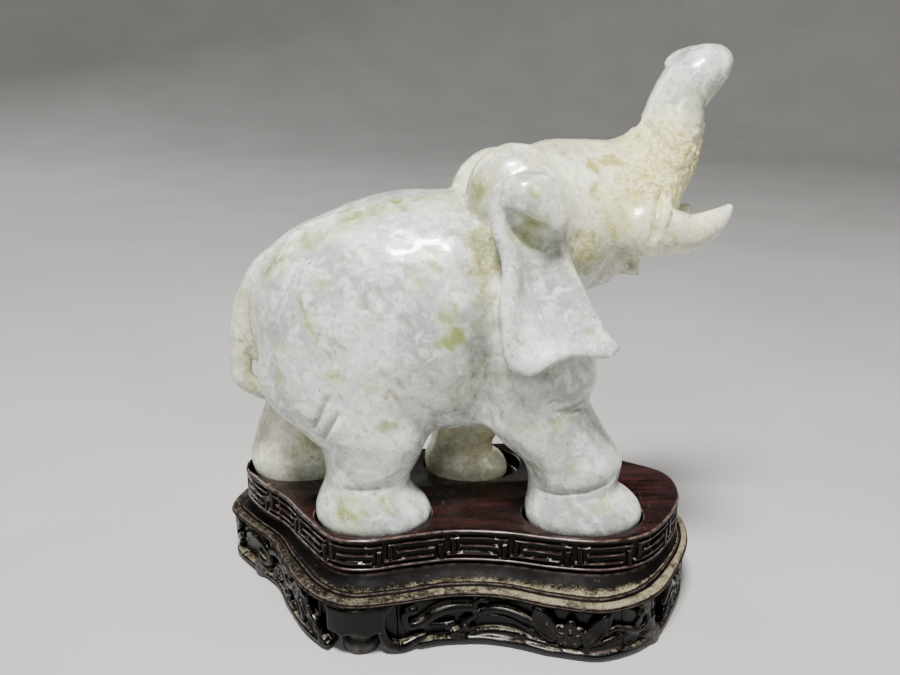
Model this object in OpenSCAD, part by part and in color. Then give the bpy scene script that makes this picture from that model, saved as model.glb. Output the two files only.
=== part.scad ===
// Carved jade elephant standing on a four-lobed hardwood stand.
// Units are millimetres, +Z is up and +X is the way the elephant faces.
// The origin is on the surface the stand rests on, under the middle of the whole object.

/* [Stand] */
// Height of the stand from the resting surface to the top of its plate
stand_h = 22; // [20:0.5:26]
// Length of the top plate
plate_l = 91.8; // [88:0.5:94]
// Width of the top plate
plate_w = 43; // [42:0.5:45]
// Thickness of the top plate
plate_t = 6.75; // [5.5:0.25:7.25]
// Length of the moulded base under the plate
base_l = 99.2; // [96:0.5:102]
// Width of the moulded base under the plate
base_w = 56.8; // [55:0.5:60]
// Thickness of the ledge board, from its flat underside to its flat top
ledge_t = 4.25; // [4:0.25:5]

/* [Foot wells] */
// Depth of the four wells that hold the elephant's feet
well_depth = 3; // [2:0.25:3.5]
// Gap left round each foot in its well
well_gap = 0.7; // [0.4:0.1:1]

/* [Apron] */
// Thickness of the openwork apron walls
apron_t = 2.6; // [2:0.2:3]
// Thickness of the solid corner blocks
leg_t = 7; // [6.5:0.25:8]
// Height of the apron's lower rim above the resting surface
rim_lift = 0.8; // [0.6:0.1:1.2]
// Height of the apron's lower rim
rim_h = 1.9; // [1.5:0.1:2.5]
// Height of the apron's top rail
rail_h = 1.3; // [1:0.1:1.6]
// Clear space under each corner block
leg_clearance = 5.5; // [4.5:0.25:6]

/* [Peg feet] */
// Diameter of the round foot pads
peg_d = 7; // [6:0.2:8.4]
// Height of the round foot pads
pad_h = 2.6; // [2:0.1:3.2]
// Diameter of the turned tenon that holds each foot
tenon_d = 3; // [2.4:0.1:3.4]
// Depth of the tenon in its corner block
tenon_h = 3.2; // [2.4:0.1:4]

/* [Pins] */
// Diameter of the bamboo pins between plate and ledge
pin_d = 2.4; // [2:0.1:3]
// Length of the bamboo pins
pin_l = 5; // [4:0.25:5.5]

/* [Elephant] */
// Height of the elephant from the soles of its feet to the tip of its trunk
elephant_h = 90.5; // [85:0.5:95]
// Segments round each rounded form of the elephant
facets = 18; // [12:2:20]

/* [Hidden] */

rosewood = [0.16, 0.07, 0.06];
lacquer = [0.09, 0.07, 0.06];
bamboo = [0.78, 0.66, 0.42];
jade = [0.86, 0.88, 0.85];

// Heights of the boards
plate_z = stand_h - plate_t;
ledge_z = plate_z - ledge_t;
well_z = stand_h - well_depth;
rim_top = rim_lift + rim_h;
rail_z = ledge_z - rail_h;

// Clearances: glue line round tenons and pins, and the overlap that fuses cut tools through
glue = 0.05;
through = 1;
fuse = 0.2;

// Outlines, as fractions of half the length and half the width, going round
// from the back left lobe by the front. Point n of one outline faces point n of the other.
plate_shape = [
    [-1.00, 0.47], [-0.92, 0.13], [-0.77, -0.21], [-0.66, -0.56], [-0.52, -0.93], [-0.38, -1.00],
    [-0.20, -0.91], [-0.01, -0.83], [0.20, -0.86], [0.40, -0.96], [0.60, -1.00], [0.78, -0.87],
    [0.91, -0.53], [0.99, -0.13], [0.97, 0.29], [0.80, 0.57], [0.59, 0.83], [0.38, 0.98],
    [0.16, 0.97], [-0.06, 0.87], [-0.28, 0.86], [-0.52, 0.96], [-0.72, 0.99], [-0.91, 0.84]];
base_shape = [
    [-1.00, 0.37], [-0.91, 0.11], [-0.77, -0.16], [-0.69, -0.45], [-0.57, -0.78], [-0.42, -0.95],
    [-0.24, -0.92], [-0.03, -0.83], [0.16, -0.84], [0.35, -0.95], [0.55, -1.00], [0.74, -0.83],
    [0.87, -0.49], [0.96, -0.11], [0.96, 0.25], [0.81, 0.53], [0.60, 0.76], [0.38, 0.97],
    [0.14, 0.96], [-0.07, 0.85], [-0.28, 0.85], [-0.50, 0.96], [-0.72, 0.98], [-0.92, 0.78]];
stations = len(plate_shape);
steps = 4;

// Closed smooth curve through the points of a shape; t runs from 0 to stations
function pt(shape, size, i) =
    let (p = shape[(i + stations) % stations]) [p[0] * size[0] / 2, p[1] * size[1] / 2];
function blend(a, b, c, d, f) =
    b + f / 2 * (c - a) + f * f * (a - 2.5 * b + 2 * c - d / 2)
    + f * f * f / 2 * (3 * b - 3 * c + d - a);
function on_curve(shape, size, t) =
    let (i = floor(t), f = t - i)
    blend(pt(shape, size, i - 1), pt(shape, size, i), pt(shape, size, i + 1),
          pt(shape, size, i + 2), f);

plate_size = [plate_l, plate_w];
base_size = [base_l, base_w];
function outward(shape, size, t) =
    let (d = on_curve(shape, size, t + 0.05) - on_curve(shape, size, t - 0.05))
    [d[1], -d[0]] / norm(d);
function plate_at(t, out = 0) =
    on_curve(plate_shape, plate_size, t) + out * outward(plate_shape, plate_size, t);
function base_at(t, out = 0) =
    on_curve(base_shape, base_size, t) + out * outward(base_shape, base_size, t);
function lap(t) = (t + stations) % stations;

function plate_ring(out = 0) = [for (k = [0 : stations * steps - 1]) plate_at(k / steps, out)];
// A ring part of the way from the plate's outline to the base's
function ledge_ring(mix, out = 0) =
    [for (k = [0 : stations * steps - 1])
        (1 - mix) * plate_at(k / steps) + mix * base_at(k / steps)
            + out * outward(base_shape, base_size, k / steps)];

// Solid through a stack of matching rings, each given as [height, points]
module loft(rings) {
    n = len(rings[0][1]);
    last = len(rings) - 1;
    polyhedron(
        points = [for (r = rings) for (p = r[1]) [p[0], p[1], r[0]]],
        faces = concat(
            [[for (k = [0 : n - 1]) k]],
            [for (r = [0 : last - 1]) for (k = [0 : n - 1])
                [r * n + k, r * n + n + k, r * n + n + (k + 1) % n, r * n + (k + 1) % n]],
            [[for (k = [n - 1 : -1 : 0]) last * n + k]]),
        convexity = 6);
}

// ---------- elephant ----------

// Every form is an egg: [centre, size], in millimetres for a 90.5 mm high elephant
// measured from the soles of its feet, which stand at height 0.
drawn_h = 90.5;
body_eggs = [
    [[-21, 0, 40.6], [38, 39, 44]],
    [[-3, 0, 41], [46, 42, 45.4]],
    [[12, 0, 41], [34, 37, 42]]];
near_hind = [
    [[-21, -9, 31], [30, 20, 30]],
    [[-16.6, -10.6, 17], [20, 16, 12]],
    [[-17.4, -11, 9.5], [15.6, 14, 8]],
    [[-16.6, -11, 4], [21.4, 16, 8]]];
near_front = [
    [[13, -9, 33], [24, 19, 26]],
    [[19, -10.4, 18], [21, 16, 14]],
    [[22, -11, 10.5], [17, 14, 8]],
    [[24.4, -11, 4], [22.2, 16, 8]]];
far_hind = [
    [[-23, 9, 31], [30, 20, 30]],
    [[-34, 10.6, 16], [17, 15, 12]],
    [[-35, 11, 9.5], [15.6, 14, 8]],
    [[-34, 11, 4], [21.6, 16, 8]]];
far_front = [
    [[7, 9, 33], [24, 19, 26]],
    [[3, 10.6, 17], [17, 15, 12]],
    [[2, 11, 9.5], [14, 13, 8]],
    [[3.2, 11, 4], [19.6, 16, 8]]];
head_eggs = [
    [[10.5, -6.3, 63.2], [18, 15, 19.6]],
    [[24, 0, 60.5], [30, 27, 25]],
    [[27, 0, 53.5], [17, 19, 15]]];
far_dome = [
    [[7.5, 6.2, 61.6], [18, 14.5, 19]],
    [[20, 3, 60], [26, 20, 24]]];
trunk_eggs = [
    [[31, 0, 63.5], [19, 19, 20]],
    [[37.8, 0, 72], [14, 15, 9]],
    [[38.8, 0, 78], [12, 13, 8]],
    [[41.2, 0, 83.6], [10.6, 11, 8]],
    [[44.2, 0, 87.4], [10, 10, 6.2]]];
tail_eggs = [
    [[-38, 0.5, 49], [6, 5, 6]],
    [[-41.4, 0.5, 42], [4.4, 4.4, 5]],
    [[-43.6, 0.5, 31], [4, 4, 6]],
    [[-41.6, 1.5, 24.4], [4.2, 4.2, 4.2]],
    [[-38, 5, 22.6], [5, 5, 5]]];
near_tusk = [
    [[35.2, -8.2, 57], [8.4, 8.4, 8.4]],
    [[41, -8, 57.8], [6, 6, 6]],
    [[45.6, -7.6, 59.8], [4, 4, 4]],
    [[49, -7, 62], [1.6, 1.6, 1.6]]];
far_tusk = [
    [[35.2, 8.2, 56.6], [8, 8, 8]],
    [[44, 7.6, 59], [3.6, 3.6, 3.6]]];
lower_lip = [
    [[28, 0, 50], [9, 8, 6]],
    [[33.4, -0.5, 50.4], [2.4, 4, 3.4]]];
// Near ear: rolled top, waist and flared bottom edge; the far ear mirrors it
ear_top = [[12, -17.6, 65], [12.6, 8.4, 10]];
ear_waist = [[11.4, -19.4, 53], [8.4, 4.6, 13]];
ear_back_edge = [[10.6, -22, 39.8], [6.6, 3.6, 6]];
ear_flare = [[17, -21.4, 43], [9, 3.6, 9]];
ear_tip = [[25.6, -21.8, 41.2], [3.4, 2.4, 2.8]];
ear_root = [
    [[15.6, -13, 62], [8, 8, 12]],
    [[13, -15, 55], [9, 8, 16]]];

module egg(form) {
    translate(form[0]) scale(form[1] / 2) sphere(r = 1, $fn = facets);
}
module chain(forms) {
    for (i = [0 : len(forms) - 2]) hull() {
        egg(forms[i]);
        egg(forms[i + 1]);
    }
}
module sheet(forms) {
    hull() for (form = forms) egg(form);
}
module ear() {
    sheet([ear_top, ear_waist]);
    sheet([ear_waist, ear_back_edge, ear_flare]);
    sheet([ear_flare, ear_tip]);
    sheet(ear_root);
    sheet([ear_top, ear_root[0]]);
}
module jade_elephant() {
    color(jade) translate([0, 0, well_z]) scale(elephant_h / drawn_h) {
        chain(body_eggs);
        chain(near_hind);
        chain(near_front);
        chain(far_hind);
        chain(far_front);
        chain(head_eggs);
        chain(far_dome);
        chain(trunk_eggs);
        chain(tail_eggs);
        chain(near_tusk);
        chain(far_tusk);
        chain(lower_lip);
        ear();
        mirror([0, 1, 0]) ear();
        // flat soles
        for (leg = [near_hind, near_front, far_hind, far_front]) {
            sole = leg[3];
            translate([sole[0][0], sole[0][1], 0]) scale([sole[1][0] * 0.86, sole[1][1] * 0.86, 1])
                cylinder(h = sole[0][2], r = 0.5, $fn = facets);
        }
    }
}

// ---------- stand ----------

sole_centres = [for (leg = [near_hind, near_front, far_hind, far_front]) leg[3]];
pin_places = [[-14.5, 9], [4.5, -9]];

module foot_well(form) {
    k = elephant_h / drawn_h;
    half_l = form[1][0] / 2 * k + well_gap;
    half_w = form[1][1] / 2 * k + well_gap;
    outline = [for (a = [0 : 10 : 350]) [half_l * cos(a), half_w * sin(a)]];
    translate([form[0][0] * k, form[0][1] * k, well_z])
        linear_extrude(well_depth + through) polygon(outline);
}
module pin_holes(z) {
    for (p = pin_places)
        translate([p[0], p[1], z]) cylinder(h = pin_l / 2 + glue, d = pin_d + 2 * glue, $fn = 48);
}

// Plate with a rounded rim, a recessed band for the key-fret carving and a lower rim
module stand_top_plate() {
    top_rim = 1.2;
    low_rim = 0.9;
    band_depth = 0.6;
    color(rosewood) difference() {
        union() {
            translate([0, 0, plate_z]) linear_extrude(low_rim) polygon(plate_ring());
            translate([0, 0, plate_z]) linear_extrude(plate_t) polygon(plate_ring(-band_depth));
            translate([0, 0, stand_h - top_rim]) linear_extrude(top_rim) polygon(plate_ring());
        }
        for (form = sole_centres) foot_well(form);
        translate([0, 0, -glue]) pin_holes(plate_z);
    }
}

// Ledge board: hollow moulding that runs from under the plate out to a round bead
module stand_ledge() {
    neck = 1.2;
    neck_z = plate_z - 0.9;
    groove = 1.3;
    bead_top = ledge_z + 1.8;
    bead_out = 0.3;
    color(lacquer) difference() {
        loft([
            [ledge_z, ledge_ring(1, -0.5)],
            [ledge_z + 0.4, ledge_ring(1)],
            [ledge_z + 1.1, ledge_ring(1, bead_out)],
            [bead_top - 0.3, ledge_ring(1, -0.2)],
            [bead_top, ledge_ring(1, -groove)],
            [bead_top + 0.3, ledge_ring(0.72)],
            [bead_top + 0.7, ledge_ring(0.4)],
            [neck_z - 0.1, ledge_ring(0.05)],
            [neck_z, ledge_ring(0, -neck)],
            [plate_z, ledge_ring(0, -neck)]]);
        translate([0, 0, -pin_l / 2]) pin_holes(plate_z);
    }
}

module plate_pins() {
    color(bamboo) for (p = pin_places)
        translate([p[0], p[1], plate_z - pin_l / 2]) cylinder(h = pin_l - glue, d = pin_d, $fn = 48);
}

// Wall that follows the base's outline from t0 to t1, between two heights
module wall(t0, t1, z0, z1, thick, out = 0) {
    n = ceil((t1 - t0) * steps);
    ts = [for (k = [0 : n]) t0 + (t1 - t0) * k / n];
    translate([0, 0, z0]) linear_extrude(z1 - z0) polygon(concat(
        [for (t = ts) base_at(lap(t), out)],
        [for (k = [n : -1 : 0]) base_at(lap(ts[k]), out - thick)]));
}
// Tool or boss along the wall's outward direction at t, drawn from the wall's outer face inwards
module facing(t, z) {
    p = base_at(lap(t));
    d = outward(base_shape, base_size, lap(t));
    translate([p[0], p[1], z]) rotate([0, 0, atan2(d[1], d[0])]) rotate([0, -90, 0]) children();
}

// Openwork apron: lower rim, top rail, a post at each place and one carved blossom
module apron(t0, t1, posts, blossom) {
    post_w = 0.11;
    blossom_d = 6.6;
    color(lacquer) {
        wall(t0, t1, rim_lift, rim_top, apron_t);
        wall(t0, t1, rail_z, ledge_z, apron_t);
        for (t = posts) wall(t - post_w, t + post_w, rim_top - fuse, rail_z + fuse, apron_t);
        facing(blossom, (rim_top + rail_z) / 2) cylinder(h = apron_t, d = blossom_d, $fn = 48);
    }
}

// Corner block with a toe at each end; the block is bored for the tenon of a peg foot.
// leg_places holds [start, end of the block, place of the foot, foot's distance in from the face]
leg_places = [
    [4.5, 6.1, 5.3, 4.8], [10.4, 12.1, 11.2, 3.4],
    [16.45, 18.05, 17.25, 3.6], [0.6, 2.1, 1.35, 3.4]];
toe = 0.26;
module corner_leg(place) {
    foot = base_at(place[2], -place[3]);
    color(lacquer) difference() {
        union() {
            wall(place[0], place[1], leg_clearance, ledge_z, leg_t);
            wall(place[0], place[0] + toe, rim_lift / 2, leg_clearance + fuse, apron_t);
            wall(place[1] - toe, place[1], rim_lift / 2, leg_clearance + fuse, apron_t);
        }
        translate([foot[0], foot[1], leg_clearance - through])
            cylinder(h = tenon_h + glue + through, d = tenon_d + 2 * glue, $fn = 48);
    }
}
module peg_foot(place) {
    foot = base_at(place[2], -place[3]);
    neck_r = tenon_d / 2 + 0.9;
    swell = 0.6;
    color(lacquer) translate([foot[0], foot[1], 0]) rotate_extrude($fn = 64) polygon([
        [0, 0], [peg_d / 2 - swell, 0], [peg_d / 2, swell], [peg_d / 2, pad_h - swell],
        [peg_d / 2 - swell, pad_h], [neck_r, pad_h + swell], [neck_r, leg_clearance],
        [tenon_d / 2, leg_clearance], [tenon_d / 2, leg_clearance + tenon_h], [0, leg_clearance + tenon_h]]);
}

function evenly(t0, t1, n) = [for (k = [1 : n]) t0 + (t1 - t0) * k / (n + 1)];
module apron_between(a, b, n, blossom) {
    t0 = a[1];
    t1 = b[0] > t0 ? b[0] : b[0] + stations;
    apron(t0, t1, evenly(t0, t1, n), t0 + (t1 - t0) * blossom);
}

module apron_front() { apron_between(leg_places[0], leg_places[1], 5, 0.67); }
module apron_right() { apron_between(leg_places[1], leg_places[2], 4, 0.6); }
module apron_back() { apron_between(leg_places[2], leg_places[3], 7, 0.5); }
module apron_left() { apron_between(leg_places[3], leg_places[0], 2, 0.33); }
module corner_leg_front() { corner_leg(leg_places[0]); }
module corner_leg_right() { corner_leg(leg_places[1]); }
module corner_leg_back() { corner_leg(leg_places[2]); }
module corner_leg_left() { corner_leg(leg_places[3]); }
module peg_foot_front() { peg_foot(leg_places[0]); }
module peg_foot_right() { peg_foot(leg_places[1]); }
module peg_foot_back() { peg_foot(leg_places[2]); }
module peg_foot_left() { peg_foot(leg_places[3]); }

jade_elephant();
stand_top_plate();
stand_ledge();
apron_front();
apron_right();
apron_back();
apron_left();
corner_leg_front();
corner_leg_right();
corner_leg_back();
corner_leg_left();
peg_foot_front();
peg_foot_right();
peg_foot_back();
peg_foot_left();
plate_pins();
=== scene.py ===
"""Carved jade elephant on a four-lobed hardwood stand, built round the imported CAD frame."""
import math

import bpy
import bmesh
import numpy as np
import openvdb as vdb
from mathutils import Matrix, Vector, noise


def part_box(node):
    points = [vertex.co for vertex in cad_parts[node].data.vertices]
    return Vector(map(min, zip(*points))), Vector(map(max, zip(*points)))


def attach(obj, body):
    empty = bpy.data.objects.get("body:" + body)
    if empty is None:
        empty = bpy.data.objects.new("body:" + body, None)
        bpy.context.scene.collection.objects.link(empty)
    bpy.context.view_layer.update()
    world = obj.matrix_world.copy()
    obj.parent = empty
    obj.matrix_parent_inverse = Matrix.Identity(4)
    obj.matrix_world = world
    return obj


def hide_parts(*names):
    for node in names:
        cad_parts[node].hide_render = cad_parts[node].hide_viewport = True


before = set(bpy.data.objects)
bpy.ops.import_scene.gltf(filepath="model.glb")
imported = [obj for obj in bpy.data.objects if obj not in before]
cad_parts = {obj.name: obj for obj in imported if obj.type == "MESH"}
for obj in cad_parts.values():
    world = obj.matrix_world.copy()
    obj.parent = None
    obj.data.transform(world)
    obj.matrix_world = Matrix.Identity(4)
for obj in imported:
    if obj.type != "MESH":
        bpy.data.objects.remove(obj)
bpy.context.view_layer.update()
MM = 0.001
# Distances further out than this, in millimetres, are not worked out
FAR = 8.0

# ---------------------------------------------------------------- boxes of the CAD parts


def box_mm(node):
    low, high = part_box(node)
    return np.array(low) / MM, np.array(high) / MM


ELEPHANT_LOW, ELEPHANT_HIGH = box_mm("jade_elephant")
PLATE_LOW, PLATE_HIGH = box_mm("stand_top_plate")
LEDGE_LOW, LEDGE_HIGH = box_mm("stand_ledge")

# The elephant is drawn in millimetres, standing on z = SOLE, DRAWN_H high
SOLE = 19.0
DRAWN_H = 90.45
ELEPHANT_SCALE = (ELEPHANT_HIGH[2] - ELEPHANT_LOW[2]) / DRAWN_H

# ---------------------------------------------------------------- distance fields


def smin(a, b, k):
    h = np.clip(0.5 + 0.5 * (b - a) / k, 0, 1)
    return b * (1 - h) + a * h - k * h * (1 - h)


def smax(a, b, k):
    return -smin(-a, -b, k)


def smooth(stations, count=241):
    """Dense table of a smooth curve through the stations, whose first column is the place."""
    s = np.array(stations, float)
    t = s[:, 0]
    slope = np.gradient(s[:, 1:], t, axis=0)
    step = np.diff(s[:, 1:], axis=0) / np.diff(t)[:, None]
    for i in range(1, len(t) - 1):
        same = step[i - 1] * step[i] > 0
        limit = 3 * np.minimum(abs(step[i - 1]), abs(step[i]))
        slope[i] = np.where(same, np.clip(slope[i], -limit, limit), 0)
    x = np.linspace(t[0], t[-1], count)
    i = np.clip(np.searchsorted(t, x) - 1, 0, len(t) - 2)
    h = (t[i + 1] - t[i])[:, None]
    f = ((x - t[i]) / (t[i + 1] - t[i]))[:, None]
    a, b = s[i, 1:], s[i + 1, 1:]
    y = ((2 * f**3 - 3 * f**2 + 1) * a + (f**3 - 2 * f**2 + f) * h * slope[i]
         + (3 * f**2 - 2 * f**3) * b + (f**3 - f**2) * h * slope[i + 1])
    return x, y


def catmull(a, b, c, d, f):
    return (b + f / 2 * (c - a) + f**2 * (a - 2.5 * b + 2 * c - d / 2)
            + f**3 / 2 * (3 * b - 3 * c + d - a))


def spline(points, count):
    """Smooth open curve through the points."""
    p = np.array(points, float)
    p = np.vstack([2 * p[0] - p[1], p, 2 * p[-1] - p[-2]])
    t = np.linspace(0, len(p) - 3 - 1e-9, count)
    i = t.astype(int)
    return catmull(p[i], p[i + 1], p[i + 2], p[i + 3], (t - i)[:, None])


def closed(points, t):
    """Points on a smooth closed curve at the parameters t, one unit for each given point."""
    p = np.array(points, float)
    n = len(p)
    t = np.atleast_1d(t) % n
    i = np.floor(t).astype(int)
    return catmull(p[(i - 1) % n], p[i % n], p[(i + 1) % n], p[(i + 2) % n], (t - i)[:, None])


class Field:
    """Signed distance, in millimetres, on a regular grid; negative inside."""

    def __init__(self, low, high, step):
        self.low = np.array(low, float)
        self.step = step
        self.shape = np.ceil((np.array(high) - self.low) / step).astype(int) + 1
        self.axes = [self.low[i] + step * np.arange(self.shape[i]) for i in range(3)]
        self.d = np.full(self.shape, FAR, np.float32)

    def window(self, low, high, margin):
        cut, grids = [], []
        for i in range(3):
            a = int(np.clip((low[i] - margin - self.low[i]) / self.step, 0, self.shape[i] - 1))
            b = int(np.clip((high[i] + margin - self.low[i]) / self.step + 2, 1, self.shape[i]))
            shape = [1, 1, 1]
            shape[i] = -1
            cut.append(slice(a, b))
            grids.append(self.axes[i][a:b].astype(np.float32).reshape(shape))
        return tuple(cut), grids

    def add(self, form, k=3.0):
        fn, low, high = form
        cut, (x, y, z) = self.window(low, high, min(FAR, k + 3))
        self.d[cut] = smin(self.d[cut], np.minimum(fn(x, y, z), FAR), k)

    def carve(self, form, k):
        fn, low, high = form
        cut, (x, y, z) = self.window(low, high, k + 1)
        self.d[cut] = smax(self.d[cut], -fn(x, y, z), k)

    def sample(self, points):
        q = (np.asarray(points) - self.low) / self.step
        i = np.clip(np.floor(q).astype(int), 0, self.shape - 2)
        f = np.clip(q - i, 0, 1)
        out = 0
        for corner in range(8):
            o = [(corner >> axis) & 1 for axis in range(3)]
            w = 1
            for axis in range(3):
                w = w * (f[:, axis] if o[axis] else 1 - f[:, axis])
            out = out + w * self.d[i[:, 0] + o[0], i[:, 1] + o[1], i[:, 2] + o[2]]
        return out

    def skin(self, x, z, side):
        """Distance from the mid plane at which the form is met, coming in from one side."""
        y = side * np.arange(27.0, -8.0, -0.25)
        points = np.stack([np.full(len(y), x), y, np.full(len(y), z)], 1)
        d = self.sample(points)
        if not (d < 0).any():
            return 0.0
        i = int(np.argmax(d < 0))
        return float(y[i - 1] + (y[i] - y[i - 1]) * d[i - 1] / (d[i - 1] - d[i]))


def egg(at, size, pitch=0):
    """Rounded form with three sizes; pitch lifts its +X end."""
    at, r = np.array(at, float), np.array(size, float) / 2
    cos, sin = np.cos(np.radians(pitch)), np.sin(np.radians(pitch))

    def fn(x, y, z):
        dx, dz = x - at[0], z - at[2]
        p = [cos * dx + sin * dz, y - at[1], cos * dz - sin * dx]
        k0 = np.sqrt(sum((p[i] / r[i])**2 for i in range(3))) + 1e-6
        k1 = np.sqrt(sum((p[i] / r[i]**2)**2 for i in range(3))) + 1e-6
        return k0 * (k0 - 1) / k1
    reach = np.array([np.hypot(cos * r[0], sin * r[2]), r[1], np.hypot(sin * r[0], cos * r[2])])
    return fn, at - reach, at + reach


def ring_distance(a, b, ra, rb, n):
    k0 = ((abs(a) / ra)**n + (abs(b) / rb)**n)**(1 / n) + 1e-6
    return np.sqrt(a * a + b * b) * (1 - 1 / k0)


def upright(stations, round_low=2.0, round_high=4.0):
    """Upright form. Stations: z, cx, cy, back, front, near, far, squareness."""
    t, v = smooth(stations)

    def fn(x, y, z):
        cx, cy, back, front, near, far, n = [
            np.interp(z, t, v[:, i]).astype(np.float32) for i in range(7)]
        a, b = x - cx, y - cy
        d = ring_distance(a, b, np.where(a > 0, front, back), np.where(b > 0, far, near), n)
        d = smax(d, t[0] - z, round_low)
        return smax(d, z - t[-1], round_high)
    low = [min(v[:, 0] - v[:, 2]), min(v[:, 1] - v[:, 4]), t[0]]
    high = [max(v[:, 0] + v[:, 3]), max(v[:, 1] + v[:, 5]), t[-1]]
    return fn, low, high


def lengthwise(stations, cap_low, cap_high):
    """Form along X with rounded ends. Stations: x, cy, cz, half width, up, down, squareness."""
    t, v = smooth(stations)
    x0, x1 = t[0], t[-1]

    def fn(x, y, z):
        cy, cz, w, up, down, n = [
            np.interp(x, t, v[:, i]).astype(np.float32) for i in range(6)]
        u = np.clip((x0 + cap_low - x) / cap_low, 0, 0.999)
        s = np.clip((x - x1 + cap_high) / cap_high, 0, 0.999)
        f = np.sqrt(1 - u * u) * np.sqrt(1 - s * s)
        a, b = y - cy, z - cz
        d = ring_distance(a, b, w * f, np.where(b > 0, up, down) * f, n)
        outside = np.maximum(np.maximum(x0 - x, x - x1), 0)
        return np.where(outside > 0, np.sqrt(np.maximum(d, 0)**2 + outside**2), d)
    low = [x0, min(v[:, 0] - v[:, 2]), min(v[:, 1] - v[:, 4])]
    high = [x1, max(v[:, 0] + v[:, 2]), max(v[:, 1] + v[:, 3])]
    return fn, low, high


def tube(points, count):
    """Swept form. Points: x, y, z, half thickness, half width along Y."""
    p = spline(points, count)

    def fn(x, y, z):
        best = None
        for a, b in zip(p[:-1], p[1:]):
            along = b[:3] - a[:3]
            t = ((x - a[0]) * along[0] + (y - a[1]) * along[1] + (z - a[2]) * along[2])
            t = np.clip(t / (along @ along + 1e-9), 0, 1)
            q = [g - (a[i] + t * along[i]) for i, g in enumerate((x, y, z))]
            thick = a[3] + t * (b[3] - a[3])
            wide = a[4] + t * (b[4] - a[4])
            total = q[0]**2 + q[1]**2 + q[2]**2
            rest = np.maximum(total - q[1]**2, 0)
            k0 = np.sqrt(rest / thick**2 + q[1]**2 / wide**2) + 1e-6
            d = np.sqrt(total) * (1 - 1 / k0)
            d = np.where(k0 < 1e-3, -np.minimum(thick, wide), d)
            best = d if best is None else np.minimum(best, d)
        return best
    r = max(p[:, 3].max(), p[:, 4].max())
    return fn, p[:, :3].min(0) - r, p[:, :3].max(0) + r


def outline_distance(points, x, z):
    """Signed distance in a plane from a closed outline, negative inside."""
    p = np.array(points, float)
    best = np.full(np.broadcast(x, z).shape, 1e9, np.float32)
    inside = np.zeros(best.shape, bool)
    for a, b in zip(p, np.roll(p, -1, axis=0)):
        e = b - a
        t = np.clip(((x - a[0]) * e[0] + (z - a[1]) * e[1]) / (e @ e), 0, 1)
        best = np.minimum(best, (x - a[0] - t * e[0])**2 + (z - a[1] - t * e[1])**2)
        if a[1] != b[1]:
            cross = (z >= min(a[1], b[1])) & (z < max(a[1], b[1]))
            inside ^= cross & (x < a[0] + (z - a[1]) * e[0] / e[1])
    d = np.sqrt(best)
    return np.where(inside, -d, d)


def height_map(points):
    """Smooth surface through scattered points: x, z, height."""
    p = np.array(points, float)

    def basis(r):
        return r * r * np.log(r + 1e-6)
    r = np.hypot(p[:, None, 0] - p[None, :, 0], p[:, None, 1] - p[None, :, 1])
    n = len(p)
    a = np.zeros((n + 3, n + 3))
    a[:n, :n] = basis(r) + 0.5 * np.eye(n)
    a[:n, n] = a[n, :n] = 1
    a[:n, n + 1:] = p[:, :2]
    a[n + 1:, :n] = p[:, :2].T
    w = np.linalg.solve(a, np.r_[p[:, 2], 0, 0, 0])

    def fn(x, z):
        out = w[n] + w[n + 1] * x + w[n + 2] * z
        for i in range(n):
            out = out + w[i] * basis(np.hypot(x - p[i, 0], z - p[i, 1]))
        return out
    return fn


def plane_cut(form, at, normal):
    """The part of a form that lies behind a plane."""
    fn, low, high = form
    n = np.array(normal, float) / np.linalg.norm(normal)

    def cut(x, y, z):
        side = (x - at[0]) * n[0] + (y - at[1]) * n[1] + (z - at[2]) * n[2]
        return smax(fn(x, y, z), side, 0.5)
    return cut, low, high


def make_mesh(name, points, faces):
    mesh = bpy.data.meshes.new(name)
    mesh.from_pydata([tuple(p) for p in points], [], [tuple(f) for f in faces])
    mesh.validate()
    mesh.update()
    obj = bpy.data.objects.new(name, mesh)
    bpy.context.scene.collection.objects.link(obj)
    mesh.shade_smooth()
    return obj


def surface(field):
    """Points in millimetres and faces of the field's zero surface."""
    grid = vdb.FloatGrid(FAR)
    grid.copyFromArray(field.d)
    points, triangles, quads = grid.convertToPolygons(0.0, 0.0)
    points = np.array(points, float) * field.step + field.low
    faces = [tuple(f) for f in triangles] + [tuple(f) for f in quads]
    a, b, c = (points[[f[i] for f in faces]] for i in (0, 1, 2))
    if (a * np.cross(b, c)).sum() < 0:
        faces = [f[::-1] for f in faces]
    return points, faces


def relax(points, faces, rounds=2):
    """Evens out the points without shrinking the form."""
    pairs = set()
    for f in faces:
        for i in range(len(f)):
            a, b = f[i], f[(i + 1) % len(f)]
            pairs.add((a, b) if a < b else (b, a))
    e = np.array(list(pairs))
    count = np.bincount(e.ravel(), minlength=len(points))[:, None]
    for step in [0.5, -0.515] * rounds:
        total = np.zeros_like(points)
        for axis in range(3):
            total[:, axis] = (np.bincount(e[:, 0], points[e[:, 1], axis], len(points))
                              + np.bincount(e[:, 1], points[e[:, 0], axis], len(points)))
        points = points + step * (total / np.maximum(count, 1) - points)
    return points


# ---------------------------------------------------------------- elephant form

# x, cy, cz, half width, up, down, squareness
TORSO = [
    (-40, 0, 59.5, 13, 15.6, 14.5, 2),
    (-34, 0, 58.6, 16.5, 17.4, 15.2, 2.1),
    (-28, 0, 58.4, 18.8, 19.4, 17.4, 2.1),
    (-20, 0, 59, 20.4, 22, 21, 2.15),
    (-10, 0, 59.8, 21, 23.4, 22.8, 2.15),
    (0, 0, 59.9, 20.8, 23.3, 22.6, 2.15),
    (8, 0, 59.6, 19.6, 21.4, 21, 2.1),
    (16, 0.3, 59, 17, 18.4, 16, 2.05),
    (25, 0.8, 58.5, 13.6, 14, 12, 2)]
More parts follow.
